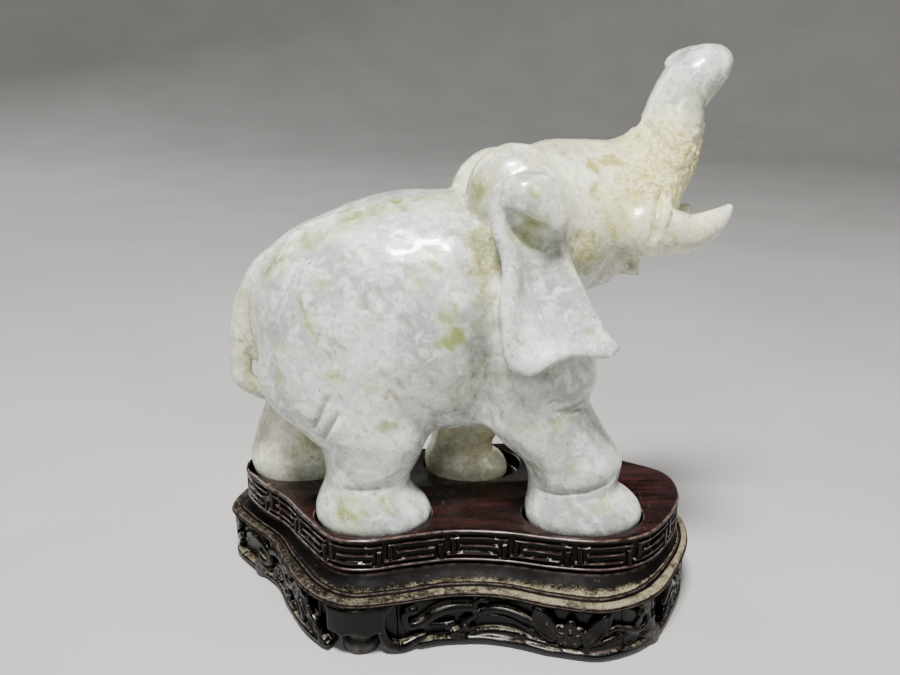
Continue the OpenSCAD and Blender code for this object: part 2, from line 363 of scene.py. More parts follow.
# z, cx, cy, back, front, near, far, squareness
NEAR_HIND = [
    (19, -16.4, -11, 9.6, 9.8, 6.8, 6.6, 2.1),
    (20.6, -16.4, -11, 10.6, 10.7, 7.7, 7.4, 2.1),
    (22.6, -16.4, -11, 11.2, 11.2, 8.3, 7.7, 2.1),
    (24.6, -16.6, -11, 11, 10.6, 8.2, 7.4, 2.05),
    (26.6, -17.2, -11, 9.8, 9.4, 7.7, 7, 2),
    (28.6, -17.5, -11, 8.6, 8.4, 7.1, 6.7, 2),
    (30.4, -17.3, -11, 8.2, 8.1, 7, 6.6, 2),
    (33.4, -16.6, -10.8, 8.8, 8.9, 7.5, 6.8, 2),
    (36.5, -16.4, -10.6, 9.9, 10, 8.2, 7.2, 2),
    (40, -17.5, -10.4, 12, 12, 9.2, 7.6, 2),
    (45, -20, -10, 15, 14, 10.2, 8, 2),
    (51, -21.5, -9.5, 16, 15.5, 10.6, 8, 2),
    (58, -21.5, -9, 13, 13, 10, 8, 2)]
NEAR_FRONT = [
    (19, 24.4, -11, 9.8, 9.8, 6.8, 6.6, 2.1),
    (20.6, 24.6, -11, 10.9, 10.8, 7.7, 7.4, 2.1),
    (22.8, 24.5, -11, 11.4, 11.3, 8.3, 7.7, 2.1),
    (25, 24.2, -11, 11, 10.7, 8.1, 7.4, 2.05),
    (27, 23.6, -11, 10, 9.4, 7.6, 6.9, 2),
    (28.6, 22.6, -11, 8.9, 8.3, 7.2, 6.6, 2),
    (31, 22, -11, 8.5, 9, 7.5, 6.8, 2),
    (34.2, 21.4, -11, 9.3, 9.9, 8.1, 7.2, 2),
    (37.6, 19, -10.8, 10.4, 10.5, 8.6, 7.6, 2),
    (41, 16.8, -10.6, 11.2, 10.4, 9, 8, 2),
    (45.6, 14.4, -10.3, 11.4, 10.4, 9.4, 8.4, 2),
    (51, 13.6, -10, 11.6, 12.4, 9.6, 8.6, 2),
    (57, 13.4, -9.4, 11.2, 11.6, 9.6, 8.6, 2),
    (64, 12, -8.6, 9, 8, 8.6, 8, 2)]
FAR_HIND = [
    (19, -34, 11, 8.8, 9, 6.8, 7, 2.1),
    (21.4, -34, 11, 10.2, 10.4, 7.6, 8, 2.1),
    (24.6, -34.1, 11, 10.6, 10.3, 7.7, 8.3, 2.1),
    (27.4, -34.5, 11, 9.6, 9, 7.1, 7.7, 2),
    (30, -34.6, 11, 8.7, 8, 6.7, 7.2, 2),
    (34, -33.4, 10.8, 8.4, 8.6, 6.9, 7.5, 2),
    (39, -31.4, 10.4, 9, 11, 7.3, 8.6, 2),
    (45, -28.5, 10, 11, 14, 7.8, 9.8, 2),
    (52, -25, 9.5, 13, 15, 8, 10.4, 2),
    (58, -23, 9, 12, 13, 8, 10, 2)]
FAR_FRONT = [
    (19, 2.2, 11, 8, 7.8, 6.8, 7, 2.1),
    (21, 2.2, 11, 9, 8.9, 7.7, 8.1, 2.1),
    (23.2, 1.8, 11, 8.8, 8.5, 7.7, 8.2, 2.05),
    (25.4, 0.9, 11, 7.6, 7.1, 6.9, 7.4, 2),
    (27.6, 1, 11, 6.8, 6.8, 6.6, 7, 2),
    (31, 2.4, 11, 7.2, 7.4, 6.8, 7.3, 2),
    (36, 4.6, 10.8, 8.6, 8.8, 7.2, 8.2, 2),
    (42, 7, 10.4, 10.6, 10.6, 7.8, 9, 2),
    (50, 9, 10, 11.4, 12.4, 8.4, 9.6, 2),
    (58, 10, 9.2, 11, 11.8, 8.4, 9.4, 2)]
# x, cy, cz, half width, up, down, squareness
HEAD = [
    (1, -0.6, 76, 11, 11, 13, 2),
    (9, -0.4, 77, 13.2, 13, 15, 2),
    (17, 0.2, 77.8, 13.8, 14.8, 15.4, 2.05),
    (24, 0.8, 78.6, 13.2, 13.8, 13.6, 2.1),
    (30, 1.2, 80.2, 12.4, 12, 11, 2.15),
    (36, 1.6, 81.8, 11.2, 10.2, 8.6, 2.15),
    (41.4, 2, 83.4, 8.8, 9, 7.4, 2)]
# x, y, z, half thickness, half width
TRUNK = [
    (32.6, 1.2, 82, 8.4, 9.6),
    (36.6, 1.5, 88.6, 7, 8.8),
    (39, 1.7, 94.2, 5.8, 7.4),
    (39.9, 1.9, 98.8, 5, 6.3),
    (41.7, 2.1, 102.4, 4.9, 5.8),
    (43.8, 2.2, 104.4, 4.3, 5.4)]
TRUNK_NUB = [
    (38.7, 4.8, 105.6, 1, 1.2),
    (39.9, 4.6, 107, 1, 1.6),
    (42.6, 3.8, 108, 0.9, 2)]
TAIL = [
    (-31.5, 0.4, 73, 1.4, 3),
    (-37, 0.4, 69, 1.9, 3.5),
    (-40.4, 0.4, 62.4, 2.4, 3.3),
    (-42.1, 0.4, 56, 2.5, 2.9),
    (-42.9, 0.6, 50, 2.2, 2.6),
    (-42.9, 0.8, 46, 2, 2.4),
    (-40.6, 2.2, 43.2, 1.9, 2.4),
    (-37.4, 4.4, 41.6, 2.2, 2.8),
    (-34, 7.4, 40.2, 2.6, 3)]
TAIL_ROOT = [
    (-35, 0.4, 69, 2, 3),
    (-38.4, 0.4, 60, 2.4, 2.4),
    (-39.2, 0.4, 53, 2.4, 2),
    (-38.8, 0.6, 50.6, 1.6, 1.6)]
NEAR_TUSK = [
    (34, -8.6, 77.6, 4.6, 4.4),
    (38, -8.7, 77.2, 4.1, 3.9),
    (41.2, -8.5, 77, 3.4, 3.2),
    (44.4, -8.2, 78.2, 2.7, 2.5),
    (46.8, -7.8, 79.8, 1.8, 1.7),
    (48.2, -7.4, 81.2, 1, 1),
    (48.7, -7.2, 81.8, 0.5, 0.5)]
FAR_TUSK = [
    (33, 9.6, 77, 4.2, 4.2),
    (37.5, 9.6, 76.6, 3.8, 3.8),
    (40.6, 9.4, 76.2, 3, 3),
    (43, 9.2, 77, 2.2, 2.2),
    (45, 9, 78.2, 1.2, 1.2)]
JAW = [
    (18, 0.8, 70, 6, 9),
    (22.6, 0.8, 69, 5, 7.6),
    (26.6, 0.6, 68.8, 3.6, 6.2),
    (29.6, 0.2, 69.8, 2.2, 5),
    (31.8, -0.6, 69.4, 1.4, 4),
    (33.6, -1.2, 68.2, 0.8, 2.4)]
MOUTH = [
    (31, 1, 72.4, 1.8, 3.8),
    (34, 0.4, 71.8, 1.7, 3.6),
    (38, 0.2, 72.4, 2, 4.6)]
# Outline of the near ear: x, z
EAR = [
    (11.4, 88), (8.2, 87.2), (6.2, 85.2), (5.8, 82.6), (6.4, 79.6), (7.7, 76.6), (8, 73),
    (7.4, 69), (7.2, 65), (7.4, 61.6), (8, 58.8), (9.4, 56.8), (11.8, 55.8), (14, 56.3),
    (16.6, 57.8), (20, 58.8), (23.4, 58.3), (25.8, 58.4), (27.6, 59.7), (26.8, 61.3),
    (24.8, 63.6), (22.8, 67.4), (20.8, 71.2), (18.8, 74.8), (17, 78), (16.6, 82),
    (15.4, 86)]
# Middle surface of the near ear: x, z, distance out from the mid plane
EAR_OUT = [
    (11, 88.5, 14.5), (15, 87, 14.5), (6.4, 84.5, 16), (11, 83, 16),
    (17, 82, 14.4), (6.6, 78.5, 18.4), (11.5, 77.5, 16), (16.8, 78, 14.8),
    (7.6, 72, 20), (12, 71, 17.4), (19.5, 73, 15.6), (7.2, 64.5, 21.6),
    (13, 64, 19.6), (22.5, 67.5, 17.8), (8.2, 58.5, 22.6), (12, 56, 23.2),
    (16.5, 59.5, 22.4), (20, 62.5, 20.4), (20.5, 59, 22.6), (26.5, 60.5, 21.4)]
# Raised rear rim of the ear: x, distance out, z, half thickness, half width
EAR_RIM = [
    (8.2, 16.6, 86, 1.6, 1.6), (6.8, 18, 82.5, 1.6, 1.6), (7.4, 19, 79, 1.5, 1.5),
    (8.6, 19.9, 75, 1.3, 1.3), (8.9, 20.6, 71, 1.2, 1.3), (8.4, 21.4, 66, 1.2, 1.3),
    (8.2, 22.2, 61.5, 1.2, 1.2), (9.4, 22.8, 58, 1.1, 1.1), (12, 23.2, 57, 0.9, 0.9)]
EAR_HOLLOW = [
    (7.8, 20.4, 83, 1, 1.4), (10.8, 19.8, 79.8, 2.4, 2.9), (14.6, 19, 77.9, 2.4, 2.9),
    (18.6, 17.8, 77, 1.7, 2.1)]

# The far ear sits further back than the near one
FAR_EAR_DX = -4.0
# Where the tusks leave the head, from the mid plane
NEAR_TUSK_Y = -8.7
FAR_TUSK_Y = 9.6

# Incised lines on the near side: width, depth, then x, z points
NEAR_LINES = [
    (1.2, 1, [(-26.4, 43.2), (-24.8, 46), (-23.2, 49.9)]),
    (1.2, 1, [(-25, 40.8), (-23, 44), (-21.4, 46.9)]),
    (1.5, 0.85, [(17, 47.2), (19.6, 46.6), (22.4, 46.8), (24.2, 47.8)]),
    (1.4, 0.85, [(14.4, 29), (18.9, 29.6), (22.5, 30.2), (26.3, 31), (29.6, 32.2)]),
    (1.2, 0.40, [(-24, 29.8), (-20, 30.2), (-16, 30.4), (-12, 31.2)]),
    (1.3, 1.00, [(35.6, 84.6), (34.8, 82), (34.2, 79.2), (33.8, 76.2)]),
    (1.1, 0.55, [(39.4, 100.6), (38, 99.6), (37.5, 98.2), (37.9, 96.6)])]
# Soft folds on both sides: width, depth, then x, z points
FOLDS = [
    (6.5, 2.1, [(3.2, 63), (3.6, 58), (3.9, 53), (4.2, 48), (4.8, 44.5)]),
    (3, 1.5, [(3.4, 59), (3.7, 54.5), (4, 50), (4.2, 46), (4.6, 43)]),
    (3.4, 0.7, [(28.6, 72.5), (28, 70), (26.6, 68)]),
    (2.6, 0.35, [(-20.6, 29.9), (-17.3, 30.3), (-13.6, 30.6), (-11, 31.4)]),
    (1.8, 0.35, [(30, 92.2), (32.1, 90.4), (34.4, 88.5), (36.4, 86.4)]),
    (1.6, 0.3, [(31.4, 93.4), (33.8, 91.3), (36.4, 89.1), (38.2, 87.2)]),
    (1.8, 0.35, [(33, 95.6), (35.9, 93), (38.9, 90.6)]),
    (2.2, 0.25, [(29.6, 88.6), (30.6, 85.6), (30.6, 82.4)])]


def ear_sheet(side, dx, thick=2.6):
    out = height_map(EAR_OUT)
    line = closed(EAR, np.arange(0, len(EAR), 1 / 3)) + np.array([dx, 0])

    def fn(x, y, z):
        edge = outline_distance(line, x, z)
        face = abs(side * y - out(x - dx, z)) * 0.92 - thick / 2
        r = thick / 2 - 0.05
        a, b = edge + r, face + r
        inner = np.minimum(np.maximum(a, b), 0)
        return np.sqrt(np.maximum(a, 0)**2 + np.maximum(b, 0)**2) + inner - r
    y0, y1 = sorted([side * 12.0, side * 26.0])
    return fn, [5 + dx, y0, 55], [28 + dx, y1, 90]


def sided(points, side, dx):
    return [(x + dx, side * y, z, a, b) for x, y, z, a, b in points]


def add_ear(f, side, dx):
    f.add(egg((15.0 + dx, side * 12.6, 82.0), (9, 8, 13)), 3.0)
    f.add(egg((14.5 + dx, side * 12.6, 75.0), (8, 7, 12)), 3.0)
    f.add(ear_sheet(side, dx), 1.4)
    f.add(tube(sided(EAR_RIM, side, dx), 30), 2.4)
    f.add(egg((11.8 + dx, side * 16.8, 84.6), (12.4, 8.4, 9.4)), 1.0)
    f.add(egg((14.6 + dx, side * 17.2, 81.6), (8.0, 7.0, 7.6), pitch=-40), 1.2)
    f.carve(tube(sided(EAR_HOLLOW, side, dx), 16), 0.8)


def add_tusk(f, points, y0):
    outward = np.sign(y0)
    sheath = tube([(28.0, y0 - outward * 3, 78.0, 6.2, 5.4),
                   (33.0, y0 - outward * 0.6, 78.0, 5.6, 5.0),
                   (39.0, y0, 77.8, 5.0, 4.7)], 14)
    f.add(plane_cut(sheath, (35.9, y0, 78.0), (0.94, 0.0, -0.34)), 1.4)
    f.add(tube(points, 24), 0.3)


def cut_line(f, width, depth, line, side=-1, blend=0.25):
    """A groove that follows the skin through x, z points."""
    path = spline(line, 4 * len(line))
    fade = np.sin(np.linspace(0.15, np.pi - 0.15, len(path)))**0.5
    y = np.array([f.skin(x, z, side) for x, z in path])
    y = np.convolve(np.r_[y[0], y, y[-1]], [0.25, 0.5, 0.25], "valid")
    y = y + side * (width / 2 - depth * fade)
    r = np.full(len(path), width / 2)
    f.carve(tube(np.stack([path[:, 0], y, path[:, 1], r, r], 1), 3 * len(path)), blend)


def elephant_field(step):
    f = Field((-47.0, -27.0, 17.0), (52.0, 27.0, 112.0), step)
    # Body and legs
    f.add(lengthwise(TORSO, 12, 11), 0.5)
    for leg, blend in ((NEAR_HIND, 3.2), (NEAR_FRONT, 3.0), (FAR_HIND, 5.0), (FAR_FRONT, 3.0)):
        f.add(upright(leg), blend)
    # Neck, head and the two domes of the forehead
    f.add(egg((9.0, 0.0, 70.0), (24, 26, 28)), 5.0)
    f.add(lengthwise(HEAD, 9, 6), 4.0)
    f.add(egg((10.4, -6.3, 83.0), (18.4, 15.4, 19.4)), 1.2)
    f.add(egg((7.4, 6.2, 80.8), (18, 14.5, 19)), 1.2)
    # Trunk with its round end, and the tail
    f.add(tube(TRUNK, 26), 3.0)
    f.add(egg((43.8, 2.2, 104.4), (10.6, 10.4, 7.8), pitch=28), 2.0)
    f.add(egg((46.3, 2.2, 106.2), (5.6, 8.0, 5.6)), 1.5)
    f.add(tube(TRUNK_NUB, 10), 0.1)
    f.add(tube(TAIL_ROOT, 14), 1.5)
    f.add(tube(TAIL[:4], 14), 2.5)
    f.add(tube(TAIL, 30), 0.7)
    # Lower jaw, open mouth and lip
    f.add(tube(JAW, 18), 1.5)
    f.carve(tube(MOUTH, 10), 0.6)
    f.add(egg((31.7, -1.0, 70.2), (5.4, 8.4, 5.2), pitch=-30), 0.8)
    f.carve(egg((32.4, -6.2, 70.7), (3.8, 5.0, 3.6), pitch=-30), 0.6)
    add_tusk(f, NEAR_TUSK, NEAR_TUSK_Y)
    add_tusk(f, FAR_TUSK, FAR_TUSK_Y)
    add_ear(f, -1, 0.0)
    add_ear(f, 1, FAR_EAR_DX)
    for width, depth, line in FOLDS:
        for side in (-1, 1):
            cut_line(f, width, depth, line, side, width / 2.5)
    for width, depth, line in NEAR_LINES:
        cut_line(f, width, depth, line)
    # Flat soles
    f.d = smax(f.d, (SOLE - f.axes[2]).astype(np.float32), 0.6)
    return f


# Rough patches left by the carver: x, distance out, z, three radii, strength
GRIT = [
    (37.5, 4, 90.5, 7.5, 9, 6, 1),
    (33, 8, 86, 6.5, 6, 6, 0.9),
    (27, 10, 82, 5, 6, 5, 0.5),
    (4.2, 15, 73.5, 2.8, 7, 9.5, 0.9),
    (22, 12, 74.5, 3.4, 4, 5, 0.7)]
# Creamy parts of the stone: x, y, z, three radii, strength
CREAM = [
    (32, 1, 84, 17, 22, 15, 1),
    (9, 0, 88, 11, 14, 8, 0.7),
    (-32, 12, 30, 14, 10, 16, 0.8),
    (4, 12, 30, 12, 10, 16, 1),
    (-41, 1, 52, 5, 6, 14, 0.7)]
# Grime that stays in the folds, and painted shade that darkens the fold behind the front leg and
# the hollow under the ear: x, distance out, z, three radii, strength
GRIME_AND_SHADE = [
    (3.9, 20, 53, 1.2, 9, 6, 1),
    (4.1, 20, 46, 1.2, 9, 5, 1),
    (4.2, 17, 66, 1.8, 8, 12, 0.8),
    (3.4, 16, 75.5, 2.8, 8, 8, 1),
    (1.5, 20, 50, 3, 9, 9, 0.4),
    (2.6, 13, 84, 2.6, 6, 4.5, 0.6),
    (25, 12, 75.5, 6, 6, 5, 0.45),
    (11, 17, 54, 7, 5, 2.2, 0.7),
    (13, 12, 74, 2.5, 5, 6, 0.5)]
# Green veils and rust stains: x, distance out, z, radius, strength
GREEN = [
    (-34.4, 8, 69.4, 2.6, 0.9), (-31.6, 8, 73.3, 3.2, 1.1), (-28, 8, 75.6, 3.2, 1),
    (-24.8, 8, 77.4, 3, 1.1), (-19.8, 8, 79.9, 3, 1.3), (-15.5, 8, 81.4, 2.6, 1.1),
    (-11.5, 7, 82.6, 2.4, 1), (-7, 7, 83.6, 2.4, 0.8), (-2, 5, 84.5, 3.4, 0.8),
    (-39.6, 2.7, 62.9, 4, 0.5), (-24.6, 17, 70.4, 1.5, 0.9), (-28.4, 17, 68.5, 1.5, 0.7),
    (-25.9, 19, 63.4, 1.8, 0.9), (-25, 19, 61, 1.6, 0.8), (-31.8, 17, 57.7, 2.2, 0.8),
    (-21.9, 20, 54, 2, 0.8), (-16.2, 20, 51.9, 2, 0.7), (-13.1, 19, 43.9, 1.9, 1),
    (-18.9, 19, 42.6, 2, 0.6), (-4.4, 17, 73.5, 1.7, 1.1), (-7.2, 18, 70.9, 1.9, 1),
    (-1.8, 21, 65.1, 2.1, 1), (-1.2, 21, 60.8, 2.3, 1.3), (-1.4, 20, 49.8, 1.9, 0.8),
    (-20.2, 18.3, 25.5, 3.4, 1.1), (-13.5, 18.3, 27, 2.2, 0.7), (18.3, 19, 44.2, 2.4, 0.8),
    (20.6, 19, 36, 2.4, 0.8), (12.5, 19.4, 44.4, 2.4, 0.8), (27.6, 19, 27.4, 2.2, 0.8),
    (12, 20, 79.6, 3.6, 1.1), (2.2, 12, 84, 3.6, 0.9), (12, 19, 86, 2.2, 0.6),
    (28.5, 12, 79, 3, 0.7), (31, 3, 93, 3, 0.7), (22, 14, 71, 3, 0.6)]
RUST = [
    (23.7, 8.5, 89.1, 1.9, 1.5), (27.1, 7, 90.2, 1.6, 1.4), (23.4, 11.3, 84.5, 1.7, 1.5),
    (27.6, 9.6, 86.4, 1.5, 0.9), (-21.5, 20.8, 54.5, 1.8, 0.8), (-11.3, 19.7, 49.4, 2.2, 0.9),
    (-15.5, 19.6, 41.6, 1.4, 0.6), (15.1, 17.6, 35.4, 1.4, 0.6), (-9, 20, 60, 1.6, 0.5),
    (-28, 19, 50, 1.6, 0.5)]


def patch_mask(p, patches, mirrored=True):
    """0 to 1 inside soft ellipsoids; mirrored patches are on both sides of the mid plane."""
    wave = np.sin(p * 1.3 + 2.0 * np.sin(p[:, [1, 2, 0]] * 0.7)) * 0.8
    x, y, z = (p + wave[:, [2, 0, 1]]).T
    y = abs(y) if mirrored else y
    mask = np.zeros(len(p))
    for cx, cy, cz, rx, ry, rz, most in patches:
        r = np.sqrt(((x - cx) / rx)**2 + ((y - cy) / ry)**2 + ((z - cz) / rz)**2)
        mask = np.maximum(mask, most * np.clip((1.5 - r) / 1.1, 0, 1))
    return mask


def round_patches(stains):
    return [(x, y, z, r, 1.4 * r, r, most) for x, y, z, r, most in stains]


def paint(obj, name, values):
    layer = obj.data.attributes.new(name, "FLOAT", "POINT")
    layer.data.foreach_set("value", np.asarray(values, np.float32))


def roughen(points, normals, grit):
    """Hand-polished unevenness everywhere, raw grit in patches, chips on the trunk's front."""
    front = grit * np.clip(normals[:, 0] * 2 - 0.4, 0, 1) * np.clip((99 - points[:, 2]) / 3, 0, 1)
    amount = np.empty(len(points))
    for i, p in enumerate(points):
        v = Vector(p)
        amount[i] = 0.17 * noise.noise(v * 0.2) + 0.08 * noise.noise(v * 0.45)
        if grit[i] > 0.02:
            amount[i] += grit[i] * (0.13 * noise.noise(v * 1.5) + 0.10 * noise.noise(v * 0.8))
        if front[i] > 0.02:
            amount[i] += front[i] * (1.5 * max(noise.noise(v * 1.1), 0) + 0.4 * noise.noise(v * 2))
    return points + normals * amount[:, None]


def build_elephant():
    f = elephant_field(0.48)
    points, faces = surface(f)
    points = relax(points, faces)
    obj = make_mesh("jade_stone", points, faces)
    normals = np.empty(len(points) * 3, np.float32)
    obj.data.vertices.foreach_get("normal", normals)
    grit = patch_mask(points, GRIT)
    paint(obj, "grit", grit)
    paint(obj, "cream", patch_mask(points, CREAM, False))
    for name, patches in (("grime_and_shade", GRIME_AND_SHADE), ("green", round_patches(GREEN)),
                          ("rust", round_patches(RUST))):
        paint(obj, name, patch_mask(points, patches))
    points = roughen(points, normals.reshape(-1, 3), grit)
    points[:, 2] = np.maximum(points[:, 2], SOLE)
    points = (points - (0, 0, SOLE)) * ELEPHANT_SCALE + (0, 0, ELEPHANT_LOW[2])
    obj.data.vertices.foreach_set("co", (points * MM).astype(np.float32).ravel())
    obj.data.update()
    return obj


# ---------------------------------------------------------------- stand outlines

PLATE_SHAPE = [
    (-1.00, 0.47), (-0.92, 0.13), (-0.77, -0.21), (-0.66, -0.56), (-0.52, -0.93), (-0.38, -1.00),
    (-0.20, -0.91), (-0.01, -0.83), (0.20, -0.86), (0.40, -0.96), (0.60, -1.00), (0.78, -0.87),
    (0.91, -0.53), (0.99, -0.13), (0.97, 0.29), (0.80, 0.57), (0.59, 0.83), (0.38, 0.98),
    (0.16, 0.97), (-0.06, 0.87), (-0.28, 0.86), (-0.52, 0.96), (-0.72, 0.99), (-0.91, 0.84)]
BASE_SHAPE = [
    (-1.00, 0.37), (-0.91, 0.11), (-0.77, -0.16), (-0.69, -0.45), (-0.57, -0.78), (-0.42, -0.95),
    (-0.24, -0.92), (-0.03, -0.83), (0.16, -0.84), (0.35, -0.95), (0.55, -1.00), (0.74, -0.83),
    (0.87, -0.49), (0.96, -0.11), (0.96, 0.25), (0.81, 0.53), (0.60, 0.76), (0.38, 0.97),
    (0.14, 0.96), (-0.07, 0.85), (-0.28, 0.85), (-0.50, 0.96), (-0.72, 0.98), (-0.92, 0.78)]
STATIONS = 24
BEAD_OUT = 0.3


class Outline:
    """Closed outline fitted to a box. t counts its shape points, u is millimetres along it."""

    def __init__(self, shape, low, high):
        raw = closed(shape, np.arange(0, STATIONS, 1 / 16))
        r0, r1 = raw.min(0), raw.max(0)
        self.points = (np.array(shape) - r0) / (r1 - r0) * (high - low)[:2] + low[:2]
        self.t = np.linspace(0, STATIONS, STATIONS * 32 + 1)
        steps = np.diff(closed(self.points, self.t), axis=0)
        self.u = np.r_[0, np.cumsum(np.hypot(steps[:, 0], steps[:, 1]))]
        self.length = self.u[-1]

    def at_t(self, t, out=0.0):
        d = closed(self.points, np.asarray(t) + 0.03) - closed(self.points, np.asarray(t) - 0.03)
        d /= np.linalg.norm(d, axis=1, keepdims=True)
        out = np.broadcast_to(out, len(d))[:, None]
        return closed(self.points, t) + out * np.stack([d[:, 1], -d[:, 0]], 1)

    def at_u(self, u, out=0.0):
        return self.at_t(np.interp(np.asarray(u) % self.length, self.u, self.t), out)

    def u_of(self, t):
        lap = math.floor(t / STATIONS)
        return float(np.interp(t - lap * STATIONS, self.t, self.u)) + lap * self.length


PLATE = Outline(PLATE_SHAPE, PLATE_LOW, PLATE_HIGH)
BEAD = np.array([BEAD_OUT, BEAD_OUT, 0])
BASE = Outline(BASE_SHAPE, LEDGE_LOW + BEAD, LEDGE_HIGH - BEAD)


def ring_mesh(name, rings):
    """Closed solid through rings of x, y, z points, from its flat underside to its flat top."""
    n = len(rings[0])
    points = np.concatenate(rings)
    faces = [tuple(range(n - 1, -1, -1))]
    for r in range(len(rings) - 1):
        a, b = r * n, (r + 1) * n
        faces += [(a + k, a + (k + 1) % n, b + (k + 1) % n, b + k) for k in range(n)]
    top = (len(rings) - 1) * n
    faces.append(tuple(top + k for k in range(n)))
    return make_mesh(name, points * MM, faces)


def with_z(points, z):
    return np.column_stack([points, np.broadcast_to(z, len(points))])


def circle(count):
    a = np.linspace(0, 2 * np.pi, count, endpoint=False)
    return np.column_stack([np.cos(a), np.sin(a)])


def sharp_by_angle(obj, degrees):
    obj.data.set_sharp_from_angle(angle=math.radians(degrees))


# ---------------------------------------------------------------- top plate

# Key-fret bars of one unit, as shares of its length, and heights below the top in millimetres
FRET_UNITS = 19
FRET_BARS = [
    (0.08, 0.99, 1.68, 2.10),
    (0.08, 0.16, 1.68, 4.95),
    (0.22, 0.84, 3.38, 3.80),
    (0.02, 0.82, 5.02, 5.46),
    (0.89, 0.97, 2.85, 6.20)]
FRET_DEPTH = 0.75
# Rims below and above the fret: out from the outline, and height from the nearer face
LOW_RIM = [
    (-1.3, 0.0), (-0.5, 0.0), (-0.12, 0.07), (0.0, 0.22), (-0.02, 0.42), (-0.16, 0.56),
    (-0.42, 0.62)]
TOP_RIM = [
    (-0.42, 0.96), (-0.14, 0.88), (-0.03, 0.74), (0.0, 0.55), (-0.05, 0.36), (-0.20, 0.18),
    (-0.45, 0.07), (-0.80, 0.02), (-1.2, 0.0)]
# Foot wells: x, y, length, width of the soles they hold
SOLES = [
    (-16.6, -11.0, 21.4, 16.0), (24.4, -11.0, 22.2, 16.0),
    (-34.0, 11.0, 21.6, 16.0), (3.2, 11.0, 19.6, 16.0)]
WELL_GAP = 0.7
WELL_DEPTH = 3.0


def step_up(x, at, soft):
    return np.clip((x - at) / soft + 0.5, 0, 1)


def fret_relief(u, depth):
    """Height of the carved key fret, 0 in the sunk ground and 1 on top of the bars."""
    unit = PLATE.length / FRET_UNITS
    k = np.floor(u / unit)
    v = u - k * unit
    wobble = 0.10 * np.sin(k * 2.7 + depth * 0.9) + 0.02 * np.sin(u * 1.7 + depth * 2.1)
    v = v + wobble
    drop = depth + 0.06 * np.sin(u * 0.5) + 0.02 * np.sin(u * 1.3 + 1)
    best = np.zeros(np.broadcast(u, depth).shape)
    for v0, v1, z0, z1 in FRET_BARS:
        across = step_up(v, v0 * unit, 0.22) * (1 - step_up(v, v1 * unit, 0.22))
        down = step_up(drop, z0, 0.16) * (1 - step_up(drop, z1, 0.16))
        best = np.maximum(best, across * down)
    return best


def build_plate():
    top, low = PLATE_HIGH[2], PLATE_LOW[2]
    count = 1180
    u = np.arange(count) * PLATE.length / count
    rows = [(np.full(count, out), low + z) for out, z in LOW_RIM]
    for depth in np.linspace(top - low - 0.72, 1.02, 42):
        h = fret_relief(u, depth)
        rows.append((-FRET_DEPTH * (1 - 0.85 * h), top - depth))
    wear = np.minimum(0.05 * np.sin(u * 0.31 + 1) * np.sin(u * 0.83), 0)
    rows += [(out + wear, top - depth) for out, depth in TOP_RIM]
    room = wall_room(PLATE.at_u(u))
    rings = [with_z(PLATE.at_u(u, np.maximum(out, -room)), z) for out, z in rows]
    plate = ring_mesh("plate_carved", rings)
    for k, sole in enumerate(SOLES):
        cut_well(plate, sole, top)
    sharp_by_angle(plate, 50)
    return plate


def wall_room(points):
    """How deep the edge may be carved at each point before it meets a foot well."""
    room = np.full(len(points), 2.0)
    for sole in SOLES:
        cx, cy, length, width = np.array(sole) * ELEPHANT_SCALE
        rx, ry = length / 2 + WELL_GAP, width / 2 + WELL_GAP
        dx, dy = points[:, 0] - cx, points[:, 1] - cy
        share = np.hypot(dx / rx, dy / ry)
        room = np.minimum(room, np.hypot(dx, dy) * (1 - 1 / share) - 0.3)
    return np.maximum(room, 0.12)


def cut_well(plate, sole, top):
    """Cuts one foot well: flat floor, small fillet, wall, and a worn edge at the top."""
    cx, cy, length, width = np.array(sole) * ELEPHANT_SCALE
    profile = [(-0.7, -WELL_DEPTH), (-0.2, -WELL_DEPTH + 0.12), (0.0, -WELL_DEPTH + 0.5),
               (0.0, -0.55), (0.06, -0.28), (0.22, -0.08), (0.42, 0.02), (0.9, 1.0)]
    rim = PLATE.at_t(np.arange(0, STATIONS, 1 / 12))
    rings = []
    for out, z in profile:
        ring = circle(96) * (length / 2 + WELL_GAP + out, width / 2 + WELL_GAP + out)
        # A wall of half a millimetre stays where the well comes near the edge
        over = outline_distance(rim, cx + ring[:, 0], cy + ring[:, 1]) + 0.5 - min(out, 0.3)
        ring *= (1 - np.maximum(over, 0) * 1.05 / np.hypot(*ring.T))[:, None]
        rings.append(with_z(ring + (cx, cy), top + z))
    cutter = ring_mesh("well_tool", rings)
    cut = plate.modifiers.new("well", "BOOLEAN")
    cut.operation = "DIFFERENCE"
    cut.solver = "EXACT"
    cut.object = cutter
    apply_modifiers(plate)
    bpy.data.objects.remove(cutter)


def apply_modifiers(obj):
    graph = bpy.context.evaluated_depsgraph_get()
    mesh = bpy.data.meshes.new_from_object(obj.evaluated_get(graph))
    obj.modifiers.clear()
    obj.data = mesh


# ---------------------------------------------------------------- ledge board


# Lip, thin rounded bead, dusty top, groove and raised line: out from the outline, height
LEDGE_EDGE = [
    (-1.2, 0.0), (-0.45, 0.0), (-0.12, 0.05), (0.12, 0.17), (0.24, 0.32), (0.3, 0.48),
    (0.26, 0.6), (0.12, 0.69), (0.06, 0.73), (0.12, 0.8), (0.1, 0.94), (-0.04, 1.08),
    (-0.32, 1.2), (-0.72, 1.3), (-1.2, 1.34), (-1.6, 1.3), (-1.85, 1.16), (-1.98, 0.98),
    (-2.12, 0.92), (-2.26, 1.02), (-2.36, 1.3), (-2.5, 1.5), (-2.66, 1.56), (-2.8, 1.5),
    (-2.94, 1.42)]
# Hollow up to the plate: share of the way in to the neck, height
LEDGE_COVE = [
    (0.12, 1.43), (0.28, 1.55), (0.45, 1.8), (0.6, 2.14), (0.74, 2.56), (0.86, 3.02),
    (0.95, 3.42), (1.0, 3.62)]
